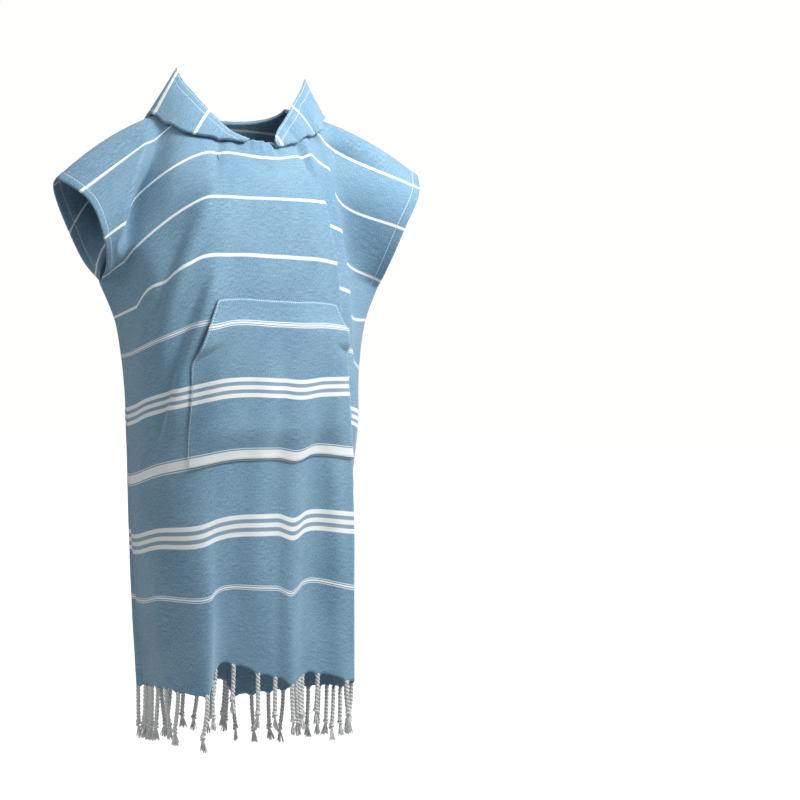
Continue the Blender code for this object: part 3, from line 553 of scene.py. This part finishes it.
def new_node(tree, kind, **inputs):
    """A node with the given sockets set or linked. Spaces in socket names are underscores here."""
    node = tree.nodes.new(kind)
    for name, value in inputs.items():
        key = int(name[1:]) if name[1:].isdigit() else name.replace("_", " ")
        if isinstance(value, bpy.types.NodeSocket):
            tree.links.new(value, node.inputs[key])
        else:
            node.inputs[key].default_value = value
    return node


def sum_of(tree, operation, first, second=0.0):
    node = new_node(tree, "ShaderNodeMath", i0=first, i1=second)
    node.operation = operation
    return node.outputs[0]


def soft_step(tree, value, low, high):
    node = new_node(tree, "ShaderNodeMapRange", Value=value, From_Min=low, From_Max=high)
    node.interpolation_type = "SMOOTHSTEP"
    return node.outputs["Result"]


def mix_colour(tree, factor, first, second):
    node = tree.nodes.new("ShaderNodeMix")
    node.data_type = "RGBA"
    for socket, value in ((node.inputs[0], factor), (node.inputs[6], first), (node.inputs[7], second)):
        if isinstance(value, bpy.types.NodeSocket):
            tree.links.new(value, socket)
        else:
            socket.default_value = value
    return node.outputs[2]


def new_group(name, inputs, outputs):
    group = bpy.data.node_groups.new(name, "ShaderNodeTree")
    for label, kind in inputs:
        group.interface.new_socket(name=label, in_out="INPUT", socket_type=kind)
    for label, kind in outputs:
        group.interface.new_socket(name=label, in_out="OUTPUT", socket_type=kind)
    return group, group.nodes.new("NodeGroupInput").outputs, group.nodes.new("NodeGroupOutput")


def bands_mask(tree, height, bands):
    """1 on every band, with soft yarn-wide edges."""
    mask = None
    for band in bands:
        off = sum_of(tree, "ABSOLUTE", sum_of(tree, "SUBTRACT", height, band.height))
        on = soft_step(tree, off, band.width / 2 + BAND_EDGE, max(band.width / 2 - BAND_EDGE, 0))
        mask = on if mask is None else sum_of(tree, "MAXIMUM", mask, on)
    return mask


def woven_stripes_group():
    """Chambray ground, woven cross stripes and the weave's relief, from the cut places."""
    group, ins, out = new_group(
        "woven_stripes",
        [("Cut", "NodeSocketVector")],
        [("Colour", "NodeSocketColor"), ("Relief", "NodeSocketFloat")],
    )
    places = new_node(group, "ShaderNodeSeparateXYZ", Vector=ins["Cut"])
    across, height = places.outputs["X"], places.outputs["Y"]
    streaks = new_node(group, "ShaderNodeMapping", Vector=ins["Cut"], Scale=(700, 260, 1))
    fleck = new_node(group, "ShaderNodeTexNoise", Vector=streaks.outputs[0], Scale=1.0, Detail=2.0)
    slubs = new_node(group, "ShaderNodeMapping", Vector=ins["Cut"], Scale=(60, 420, 1))
    slub = new_node(group, "ShaderNodeTexNoise", Vector=slubs.outputs[0], Scale=1.0, Detail=2.0)
    cloud = new_node(group, "ShaderNodeTexNoise", Vector=ins["Cut"], Scale=9.0, Detail=2.0)
    mixed = sum_of(group, "ADD", fleck.outputs[0], sum_of(group, "MULTIPLY", slub.outputs[0], 0.5))
    mixed = sum_of(group, "ADD", mixed, sum_of(group, "MULTIPLY", cloud.outputs[0], 0.4))
    ground = mix_colour(group, soft_step(group, mixed, 0.62, 1.28), BLUE_DEEP, BLUE_PALE)
    slate = sum_of(group, "MULTIPLY", bands_mask(group, height, SLATE_BANDS), 0.8)
    colour = mix_colour(group, slate, ground, SLATE_YARN)
    white = sum_of(group, "MULTIPLY", bands_mask(group, height, WHITE_BANDS), 0.94)
    colour = mix_colour(group, white, colour, WHITE_YARN)
    warp = sum_of(group, "SINE", sum_of(group, "MULTIPLY", across, math.tau / THREAD))
    slant = sum_of(group, "ADD", across, height)
    twill = sum_of(group, "SINE", sum_of(group, "MULTIPLY", slant, math.tau / (2.2 * THREAD)))
    threads = sum_of(group, "MULTIPLY", warp, 0.25)
    relief = sum_of(group, "ADD", threads, sum_of(group, "MULTIPLY", twill, 0.35))
    relief = sum_of(group, "ADD", relief, mixed)
    relief = sum_of(group, "ADD", relief, sum_of(group, "MULTIPLY", white, 0.6))
    group.links.new(colour, out.inputs["Colour"])
    group.links.new(relief, out.inputs["Relief"])
    return group


def hem_stitching_group():
    """A sunk row of thread a set way in from a hem, dashed along it, from the trim map."""
    group, ins, out = new_group(
        "hem_stitching",
        [("Trim", "NodeSocketVector"), ("Row", "NodeSocketFloat"), ("Pitch", "NodeSocketFloat")],
        [("Thread", "NodeSocketFloat"), ("Groove", "NodeSocketFloat")],
    )
    places = new_node(group, "ShaderNodeSeparateXYZ", Vector=ins["Trim"])
    off = sum_of(group, "ABSOLUTE", sum_of(group, "SUBTRACT", places.outputs["X"], ins["Row"]))
    line = soft_step(group, off, 0.0011, 0.0004)
    groove = soft_step(group, off, 0.0028, 0.0004)
    phase = sum_of(group, "FRACT", sum_of(group, "DIVIDE", places.outputs["Y"], ins["Pitch"]))
    gap = sum_of(group, "ABSOLUTE", sum_of(group, "SUBTRACT", phase, 0.5))
    dash = soft_step(group, gap, 0.40, 0.30)
    group.links.new(sum_of(group, "MULTIPLY", line, dash), out.inputs["Thread"])
    group.links.new(groove, out.inputs["Groove"])
    return group


def new_material(name):
    material = bpy.data.materials.new(name)
    material.use_nodes = True
    tree = material.node_tree
    return material, tree, tree.nodes["Principled BSDF"]


def group_node(tree, group, **inputs):
    node = tree.nodes.new("ShaderNodeGroup")
    node.node_tree = group
    for name, value in inputs.items():
        socket = node.inputs[name]
        if isinstance(value, bpy.types.NodeSocket):
            tree.links.new(value, socket)
        else:
            socket.default_value = value
    return node


def uv_map(tree, name):
    node = tree.nodes.new("ShaderNodeUVMap")
    node.uv_map = name
    return node.outputs[0]


def cotton_material(name, weave, stitching, rows):
    """Striped cotton with rows of stitching at the given ways in from its hems."""
    material, tree, shader = new_material(name)
    cloth = group_node(tree, weave, Cut=uv_map(tree, "cut"))
    colour, relief = cloth.outputs["Colour"], cloth.outputs["Relief"]
    for row in rows:
        sewn = group_node(tree, stitching, Trim=uv_map(tree, "trim"), Row=row, Pitch=STITCH_PITCH)
        colour = mix_colour(tree, sewn.outputs["Thread"], colour, STITCH_PALE)
        relief = sum_of(tree, "SUBTRACT", relief, sum_of(tree, "MULTIPLY", sewn.outputs["Groove"], 3.0))
        relief = sum_of(tree, "ADD", relief, sum_of(tree, "MULTIPLY", sewn.outputs["Thread"], 2.0))
    bump = new_node(tree, "ShaderNodeBump", Height=relief, Strength=0.55, Distance=0.0005)
    tree.links.new(colour, shader.inputs["Base Color"])
    tree.links.new(bump.outputs[0], shader.inputs["Normal"])
    shader.inputs["Roughness"].default_value = 0.88
    shader.inputs["Specular IOR Level"].default_value = 0.25
    shader.inputs["Sheen Weight"].default_value = 0.35
    shader.inputs["Sheen Roughness"].default_value = 0.45
    shader.inputs["Sheen Tint"].default_value = (0.85, 0.93, 1.0, 1)
    return material


def yarn_material():
    material, tree, shader = new_material("fringe_yarn")
    place = tree.nodes.new("ShaderNodeTexCoord").outputs["Object"]
    fibres = new_node(tree, "ShaderNodeMapping", Vector=place, Scale=(1600, 1600, 260))
    fibre = new_node(tree, "ShaderNodeTexNoise", Vector=fibres.outputs[0], Scale=1.0, Detail=3.0)
    colour = mix_colour(tree, soft_step(tree, fibre.outputs[0], 0.35, 0.65), YARN_DARK, YARN_PALE)
    bump = new_node(tree, "ShaderNodeBump", Height=fibre.outputs[0], Strength=0.5, Distance=0.0005)
    tree.links.new(colour, shader.inputs["Base Color"])
    tree.links.new(bump.outputs[0], shader.inputs["Normal"])
    shader.inputs["Roughness"].default_value = 0.85
    shader.inputs["Sheen Weight"].default_value = 0.3
    return material


# --- the sheets ------------------------------------------------------------------------------

GATHER_COUNT = 34
GATHER_DEPTH = 0.0022


def gathers(panel, across, height):
    """Small pleats that fan out from the neck seam."""
    ahead = CUT_LENGTH - height
    turn = np.arctan2(across / NECK_HALF, ahead / panel.neck_depth)
    beyond = np.hypot(across / NECK_HALF, ahead / panel.neck_depth) - 1
    wave = np.sin(turn * GATHER_COUNT + 1.3 * np.sin(turn * 7))
    return GATHER_DEPTH * wave * (1 - ramp(beyond, 0.0, 0.42)) * ramp(ahead, 0.01, 0.05)


def panel_sheet(name, panel, cords, material):
    across, heights = panel_grid(panel, [cord.across for cord in cords])
    points = hang(panel, across, heights)
    normal = outward_normal(hang, panel, across, heights)
    from_cuff = half_width(heights) - abs(across) + NO_HEM * (heights < UNDERARM)
    hem = HEM_STEP * (1 - ramp(from_cuff, CUFF_HEM - 0.002, CUFF_HEM))
    hem = hem * ramp(heights, UNDERARM, UNDERARM + 0.01)
    points += normal * (hem + gathers(panel, across, heights))[..., None]
    points[..., 1] -= panel.outward * SEAM_GAP / 2
    cut = np.stack([across, heights], axis=-1)
    trim = np.stack([from_cuff, heights], axis=-1)
    return sheet_object(name, points, cut, trim, material, side=panel.outward)


PocketEdge = namedtuple("PocketEdge", "height half")
POCKET = [PocketEdge(0.650, 0.120), PocketEdge(0.555, 0.165), PocketEdge(0.370, 0.165)]
POCKET_OPENING_LOW = 0.555
POCKET_PUFF = 0.011
POCKET_COLUMNS = 90
POCKET_ROWS = 76
POCKET_SHIFT = 0.007


def pocket_sheet(material):
    """The pocket, sewn along its top, its foot and its lower sides, and open along both slants."""
    places = [edge.height for edge in POCKET][::-1]
    halves = [edge.half for edge in POCKET][::-1]
    heights = np.linspace(places[0], places[-1], POCKET_ROWS + 1)
    half = np.interp(heights, places, halves)
    shares = np.linspace(-1, 1, POCKET_COLUMNS + 1)
    across = shares[None, :] * half[:, None]
    height = np.broadcast_to(heights[:, None], across.shape)
    from_foot = ramp(height - places[0], 0, 0.06)
    from_top = ramp(places[-1] - height, 0, 0.05)
    from_side = half[:, None] - abs(across)
    open_side = ramp(height, POCKET_OPENING_LOW, POCKET_OPENING_LOW + 0.03)
    puff = POCKET_PUFF * from_foot * from_top * np.maximum(ramp(from_side, 0, 0.05), open_side)
    hem = HEM_STEP * (1 - ramp(places[-1] - height, 0.018, 0.020))
    normal = outward_normal(hang, FRONT, across, height)
    points = hang(FRONT, across, height) + normal * (WALL + LAID_ON + puff + hem)[..., None]
    shifted = height + POCKET_SHIFT * ramp(height, 0.54, 0.59)
    cut = np.stack([across, shifted], axis=-1)
    edge = np.minimum(np.minimum(from_side, height - places[0]), places[-1] - height)
    run = np.where(edge == from_side, height, across)
    trim = np.stack([edge, run], axis=-1)
    return sheet_object("pocket_cloth", points, cut, trim, material)


# Each rib stands at a turn about the neck, in degrees from the centre front. Its under layer ends
# at a place on the panels, across and ahead of the shoulder line, and is lifted off them there. It
# turns over with a fat edge, bulges on its way back, and ends at x, y, z on the face edge.
HoodRib = namedtuple("HoodRib", "turn across ahead lift fat bulge x y z")
LEFT_HOOD = [
    HoodRib(11.25, -0.030, 0.120, 0.002, 0.0030, 0.001, -0.024, -0.092, -0.077),
    HoodRib(25.0, -0.073, 0.115, 0.003, 0.0032, 0.002, -0.049, -0.079, -0.064),
    HoodRib(40.0, -0.112, 0.106, 0.003, 0.0032, 0.003, -0.072, -0.063, -0.040),
    HoodRib(55.0, -0.143, 0.082, 0.003, 0.0032, 0.003, -0.088, -0.046, -0.016),
    HoodRib(70.0, -0.162, 0.045, 0.003, 0.0034, 0.003, -0.100, -0.028, 0.007),
    HoodRib(80.0, -0.174, 0.022, 0.003, 0.0036, 0.002, -0.110, -0.014, 0.025),
    HoodRib(90.0, -0.184, 0.000, 0.003, 0.0040, 0.000, -0.117, 0.000, 0.050),
    HoodRib(100.0, -0.172, -0.035, 0.006, 0.0060, 0.002, -0.116, 0.018, 0.028),
    HoodRib(115.0, -0.150, -0.075, 0.010, 0.0120, 0.006, -0.106, 0.042, 0.000),
    HoodRib(140.0, -0.122, -0.130, 0.016, 0.0220, 0.010, -0.078, 0.080, -0.044),
    HoodRib(160.0, -0.068, -0.172, 0.018, 0.0270, 0.012, -0.042, 0.104, -0.064),
    HoodRib(180.0, 0.000, -0.190, 0.018, 0.0280, 0.012, 0.000, 0.112, -0.070),
]
RIGHT_HOOD = [
    HoodRib(11.25, 0.028, 0.120, 0.002, 0.0030, 0.001, 0.026, -0.092, -0.077),
    HoodRib(25.0, 0.055, 0.117, 0.003, 0.0032, 0.002, 0.038, -0.079, -0.058),
    HoodRib(40.0, 0.086, 0.105, 0.003, 0.0032, 0.003, 0.059, -0.063, -0.038),
    HoodRib(55.0, 0.118, 0.080, 0.003, 0.0032, 0.003, 0.081, -0.046, -0.015),
    HoodRib(70.0, 0.142, 0.045, 0.003, 0.0034, 0.003, 0.103, -0.028, 0.009),
    HoodRib(80.0, 0.158, 0.022, 0.003, 0.0036, 0.002, 0.120, -0.014, 0.026),
    HoodRib(90.0, 0.180, 0.000, 0.003, 0.0040, 0.000, 0.137, 0.000, 0.048),
    HoodRib(100.0, 0.172, -0.035, 0.006, 0.0060, 0.002, 0.140, 0.018, 0.026),
    HoodRib(115.0, 0.152, -0.075, 0.010, 0.0120, 0.006, 0.136, 0.045, -0.006),
    HoodRib(140.0, 0.124, -0.130, 0.016, 0.0220, 0.010, 0.108, 0.080, -0.052),
    HoodRib(160.0, 0.070, -0.172, 0.018, 0.0270, 0.012, 0.056, 0.104, -0.066),
    HoodRib(180.0, 0.000, -0.190, 0.018, 0.0280, 0.012, 0.000, 0.112, -0.070),
]
PEAK_TURN = 90
HOOD_RIBS = 48
UNDER_ROWS = 34
TURN_ROWS = 12
OVER_ROWS = 40
HOOD_FOOT = 0.725
RIGHT_SLIP = 0.022


def rib_value(ribs, column, turn):
    """One column of a hood table at turns in degrees, smooth but for the corner at the peak."""
    before = along([rib for rib in ribs if rib.turn <= PEAK_TURN], column, turn, key="turn")
    after = along([rib for rib in ribs if rib.turn >= PEAK_TURN], column, turn, key="turn")
    return np.where(turn <= PEAK_TURN, before, after)


def on_shoulders(across, ahead):
    """The outer face of the panels, ahead of the shoulder line or behind it, and the way out of it there."""
    height = CUT_LENGTH - abs(ahead)
    faces = []
    for panel in (FRONT, BACK):
        normal = outward_normal(hang, panel, across, height)
        faces.append((hang(panel, across, height) + normal * WALL, normal))
    in_front = (ahead > 0)[..., None]
    return [np.where(in_front, front_one, back_one) for front_one, back_one in zip(*faces)]


def unit(way):
    return way / np.linalg.norm(way, axis=-1, keepdims=True)


def hood_points(ribs, degrees, side):
    """Rows of the hood's outer face on its ribs: neck seam, under layer, turn and over layer."""
    edge = np.stack([rib_value(ribs, axis, degrees) for axis in "xyz"], axis=-1)
    columns = ("across", "ahead", "lift", "fat", "bulge")
    fold_across, fold_ahead, lift, fat, bulge = (rib_value(ribs, column, degrees) for column in columns)
    turns = np.radians(degrees)
    depth = np.where(np.cos(turns) > 0, FRONT_NECK_DEPTH, BACK_NECK_DEPTH)
    seam_across, seam_ahead = side * NECK_HALF * np.sin(turns), depth * np.cos(turns)
    part = np.linspace(0, 1, UNDER_ROWS + 1)[:, None]
    across = seam_across + (fold_across - seam_across) * part
    ahead = seam_ahead + (fold_ahead - seam_ahead) * part
    face, normal = on_shoulders(across, ahead)
    under = face + normal * (LAID_ON + lift * ramp(part, 0, 0.7))[..., None]
    last = under[-1]
    out = unit(last - under[-4])
    away = unit(normal[-1] - out * (normal[-1] * out).sum(axis=-1, keepdims=True))
    swing = (math.pi * np.linspace(0, 1, TURN_ROWS + 1)[1:])[:, None, None]
    turn = last + (out * np.sin(swing) + away * (1 - np.cos(swing))) * fat[:, None]
    rise = np.linspace(0, 1, OVER_ROWS + 1)[1:][:, None, None]
    over = turn[-1] + (edge - turn[-1]) * rise + away * bulge[:, None] * np.sin(math.pi * rise)
    return np.concatenate([under, turn, over])


def hood_sheet(name, ribs, side, material):
    first = np.linspace(ribs[0].turn, PEAK_TURN, HOOD_RIBS + 1)
    degrees = np.concatenate([first, np.linspace(PEAK_TURN, ribs[-1].turn, HOOD_RIBS + 1)[1:]])
    points = hood_points(ribs, degrees, side)
    points[:, -1, 0] = side * SEAM_GAP
    steps = np.linalg.norm(np.diff(points, axis=0), axis=-1)
    run = np.concatenate([np.zeros((1, steps.shape[1])), np.cumsum(steps, axis=0)])
    face = np.linalg.norm(np.diff(points[-1], axis=0), axis=-1)
    face_run = np.concatenate([[0], np.cumsum(face)])
    climb = face_run[None, :] * np.clip(run / run[UNDER_ROWS], 0, 1)
    slip = RIGHT_SLIP if side > 0 else 0
    around = np.radians(degrees)[None, :] * NECK_HALF + run - climb
    cut = np.stack([around, HOOD_FOOT + climb - slip], axis=-1)
    trim = np.stack([run[-1] - run, np.broadcast_to(face_run, run.shape)], axis=-1)
    return sheet_object(name, points, cut, trim, material, side=-side)


# --- the fringe ------------------------------------------------------------------------------

PLY_RADIUS = 0.0023
PLY_OFF = 0.0019
PLY_PITCH = 0.013
KNOT_RADIUS = 0.0034
BRUSH_LENGTH = 0.024
BRUSH_STRANDS = 16
STRAND_RADIUS = 0.0015
KNOT_PLY_RADIUS = 0.0023
PLY_STEPS = 44
KNOT_STEPS = 18
STRAND_STEPS = 4


def fringe_cords(seed, places):
    """Cords along a hem: where each hangs, how it swings and how long its twisted part is."""
    draw = random.Random(seed)
    return [
        Cord(place, draw.uniform(-0.006, 0.006), draw.uniform(-0.006, 0.006), draw.uniform(0.056, 0.070))
        for place in places
    ]


FRONT_CORDS = fringe_cords(
    11,
    [
        -0.312, -0.296, -0.262, -0.222, -0.196, -0.150, -0.128, -0.112, -0.070, -0.030, 0.000,
        0.034, 0.046, 0.056, 0.066, 0.100, 0.150, 0.176, 0.205, 0.250, 0.300,
    ],
)
BACK_CORDS = fringe_cords(
    12,
    [
        -0.305, -0.272, -0.238, -0.203, -0.170, -0.136, -0.102, -0.068, -0.034, 0.000,
        0.032, 0.044, 0.056, 0.090, 0.124, 0.158, 0.192, 0.226, 0.262, 0.298,
    ],
)


def yarn_curve(name, runs, sides):
    """A mesh of tapering round yarns, one for each run of (point, radius) pairs."""
    bpy.ops.object.select_all(action="DESELECT")
    curve = bpy.data.curves.new(name, "CURVE")
    curve.dimensions = "3D"
    curve.bevel_depth = 1.0
    curve.bevel_resolution = sides
    curve.use_fill_caps = True
    for run in runs:
        spline = curve.splines.new("POLY")
        spline.points.add(len(run) - 1)
        for point, (place, radius) in zip(spline.points, run):
            point.co = (*place, 1)
            point.radius = radius
    piece = bpy.data.objects.new(name, curve)
    bpy.context.scene.collection.objects.link(piece)
    select_only(piece)
    bpy.ops.object.convert(target="MESH")
    return bpy.context.object


def cord_runs(start, cord, draw):
    """The two plies, the knot and the brush of one cord."""
    plies, strands = [], []
    twist = draw.uniform(0, math.tau)

    def middle(part):
        sag = part * part
        return start + np.array([cord.swing_x * sag, cord.swing_y * sag, -cord.length * part])

    for half in (0, math.pi):
        run = []
        for step in range(PLY_STEPS + 1):
            part = step / PLY_STEPS
            angle = twist + half + math.tau * cord.length * part / PLY_PITCH
            off = PLY_OFF * np.array([math.cos(angle), math.sin(angle), 0])
            run.append((middle(part) + off, PLY_RADIUS))
        plies.append(run)
    end = middle(1.0)
    run = []
    for step in range(KNOT_STEPS + 1):
        part = step / KNOT_STEPS
        angle = twist + 3 * math.pi * part
        drop = 0.003 - 0.008 * part
        off = np.array([math.cos(angle) * KNOT_RADIUS, math.sin(angle) * KNOT_RADIUS, drop])
        run.append((end + off, KNOT_PLY_RADIUS))
    plies.append(run)
    fan = draw.uniform(0, math.pi)
    tilt = draw.uniform(-0.004, 0.004)
    for strand in range(BRUSH_STRANDS):
        spread = (strand / (BRUSH_STRANDS - 1) - 0.5) * draw.uniform(0.010, 0.018)
        depth = draw.uniform(-0.004, 0.004)
        reach = BRUSH_LENGTH * draw.uniform(0.8, 1.0)
        run = []
        for step in range(STRAND_STEPS + 1):
            part = step / STRAND_STEPS
            wide = spread * part**0.8 + tilt * part
            off = np.array([
                math.cos(fan) * wide - math.sin(fan) * depth * part,
                math.sin(fan) * wide + math.cos(fan) * depth * part,
                -0.003 - reach * part,
            ])
            run.append((end + off, STRAND_RADIUS * (1 - 0.55 * part)))
        strands.append(run)
    return plies, strands


def fringe_piece(name, panel, cords, seed, material):
    """All the cords under one panel's hem, their plies and knots joined with their brushes."""
    draw = random.Random(seed)
    plies, strands = [], []
    for cord in cords:
        top = hang(panel, cord.across, 0.004)
        top[1] -= panel.outward * WALL / 2
        new_plies, new_strands = cord_runs(top, cord, draw)
        plies += new_plies
        strands += new_strands
    piece = yarn_curve(name, plies, 1)
    brushes = yarn_curve(name + "_brushes", strands, 0)
    bpy.ops.object.select_all(action="DESELECT")
    brushes.select_set(True)
    piece.select_set(True)
    bpy.context.view_layer.objects.active = piece
    bpy.ops.object.join()
    piece.data.materials.clear()
    piece.data.materials.append(material)
    piece.data.shade_smooth()
    return piece


# --- the stage -------------------------------------------------------------------------------

CAMERA_TURN = math.radians(-27)
CAMERA_AWAY = 3.6
CAMERA_HEIGHT = -0.523
CAMERA_LENS = 92.6
CAMERA_SHIFT = 0.204
FLOOR_HEIGHT = -1.45


def stage():
    """A pale floor that the camera sees as bright as the backdrop."""
    bpy.ops.object.select_all(action="DESELECT")
    place = (0, 0, FLOOR_HEIGHT)
    bpy.ops.mesh.primitive_circle_add(vertices=96, radius=40, fill_type="NGON", location=place)
    floor = bpy.context.object
    floor.name = "floor"
    material, _, shader = new_material("pale_floor")
    shader.inputs["Base Color"].default_value = (0.60, 0.60, 0.59, 1)
    shader.inputs["Roughness"].default_value = 0.9
    shader.inputs["Emission Color"].default_value = (1, 1, 0.985, 1)
    material.node_tree.links.new(
        seen_as(material.node_tree, 0.9, 0.0), shader.inputs["Emission Strength"]
    )
    floor.data.materials.append(material)


def area_light(name, place, target, size, power, colour):
    """A round lamp at a place, turned towards its target."""
    way = np.array(target) - np.array(place)
    tilt = math.atan2(math.hypot(way[0], way[1]), -way[2])
    turn = math.atan2(way[1], way[0]) - math.pi / 2
    bpy.ops.object.light_add(type="AREA", location=place, rotation=(tilt, 0, turn))
    lamp = bpy.context.object
    lamp.name = name
    lamp.data.shape = "DISK"
    lamp.data.size = size
    lamp.data.energy = power
    lamp.data.color = colour


def seen_as(tree, seen, otherwise):
    """One value where the camera sees it and another for the light that it gives."""
    path = tree.nodes.new("ShaderNodeLightPath")
    node = tree.nodes.new("ShaderNodeMix")
    tree.links.new(path.outputs["Is Camera Ray"], node.inputs[0])
    node.inputs[2].default_value = otherwise
    node.inputs[3].default_value = seen
    return node.outputs[0]


def lights():
    """A white backdrop that fills softly, a high key lamp in front and weak ones at both sides."""
    world = bpy.data.worlds.new("studio")
    bpy.context.scene.world = world
    world.use_nodes = True
    backdrop = world.node_tree.nodes["Background"]
    backdrop.inputs["Color"].default_value = (1.0, 1.0, 0.985, 1)
    world.node_tree.links.new(seen_as(world.node_tree, 1.0, 0.46), backdrop.inputs["Strength"])
    area_light("key", (0.6, -1.1, 0.85), (0, 0, -0.1), 0.7, 40, (1.0, 0.99, 0.97))
    area_light("side", (2.2, -0.9, 0.2), (0, 0, -0.4), 0.8, 16, (0.90, 0.96, 1.0))
    area_light("left", (-1.9, -0.9, 0.9), (0, 0, 0), 0.8, 7, (1.0, 1.0, 1.0))


def camera():
    """A level view from the front and a little from the wearer's right, with the garment at the left."""
    place = (
        math.sin(CAMERA_TURN) * CAMERA_AWAY,
        -math.cos(CAMERA_TURN) * CAMERA_AWAY,
        CAMERA_HEIGHT,
    )
    bpy.ops.object.camera_add(location=place, rotation=(math.pi / 2, 0, CAMERA_TURN))
    piece = bpy.context.object
    piece.name = "camera"
    piece.data.sensor_width = 36
    piece.data.lens = CAMERA_LENS
    piece.data.shift_x = CAMERA_SHIFT
    bpy.context.scene.camera = piece
    bpy.context.scene.view_settings.view_transform = "Standard"


camera()
lights()
stage()

weave = woven_stripes_group()
stitching = hem_stitching_group()
panel_cotton = cotton_material("striped_cotton", weave, stitching, [0.0135])
pocket_cotton = cotton_material("pocket_cotton", weave, stitching, [0.0025])
hood_cotton = cotton_material("hood_cotton", weave, stitching, [0.004, 0.017])
yarn = yarn_material()

front = panel_sheet("front_cloth", FRONT, FRONT_CORDS, panel_cotton)
back = panel_sheet("back_cloth", BACK, BACK_CORDS, panel_cotton)
pocket = pocket_sheet(pocket_cotton)
hood_left = hood_sheet("hood_left_cloth", LEFT_HOOD, -1, hood_cotton)
hood_right = hood_sheet("hood_right_cloth", RIGHT_HOOD, 1, hood_cotton)
front_fringe = fringe_piece("front_fringe", FRONT, FRONT_CORDS, 21, yarn)
back_fringe = fringe_piece("back_fringe", BACK, BACK_CORDS, 22, yarn)

finish_piece(front, "front_panel")
finish_piece(back, "back_panel")
finish_piece(pocket, "pocket")
finish_piece(hood_left, "hood_left")
finish_piece(hood_right, "hood_right")
finish_piece(front_fringe, "fringe_front", slot="fringe")
finish_piece(back_fringe, "fringe_back", slot="fringe")
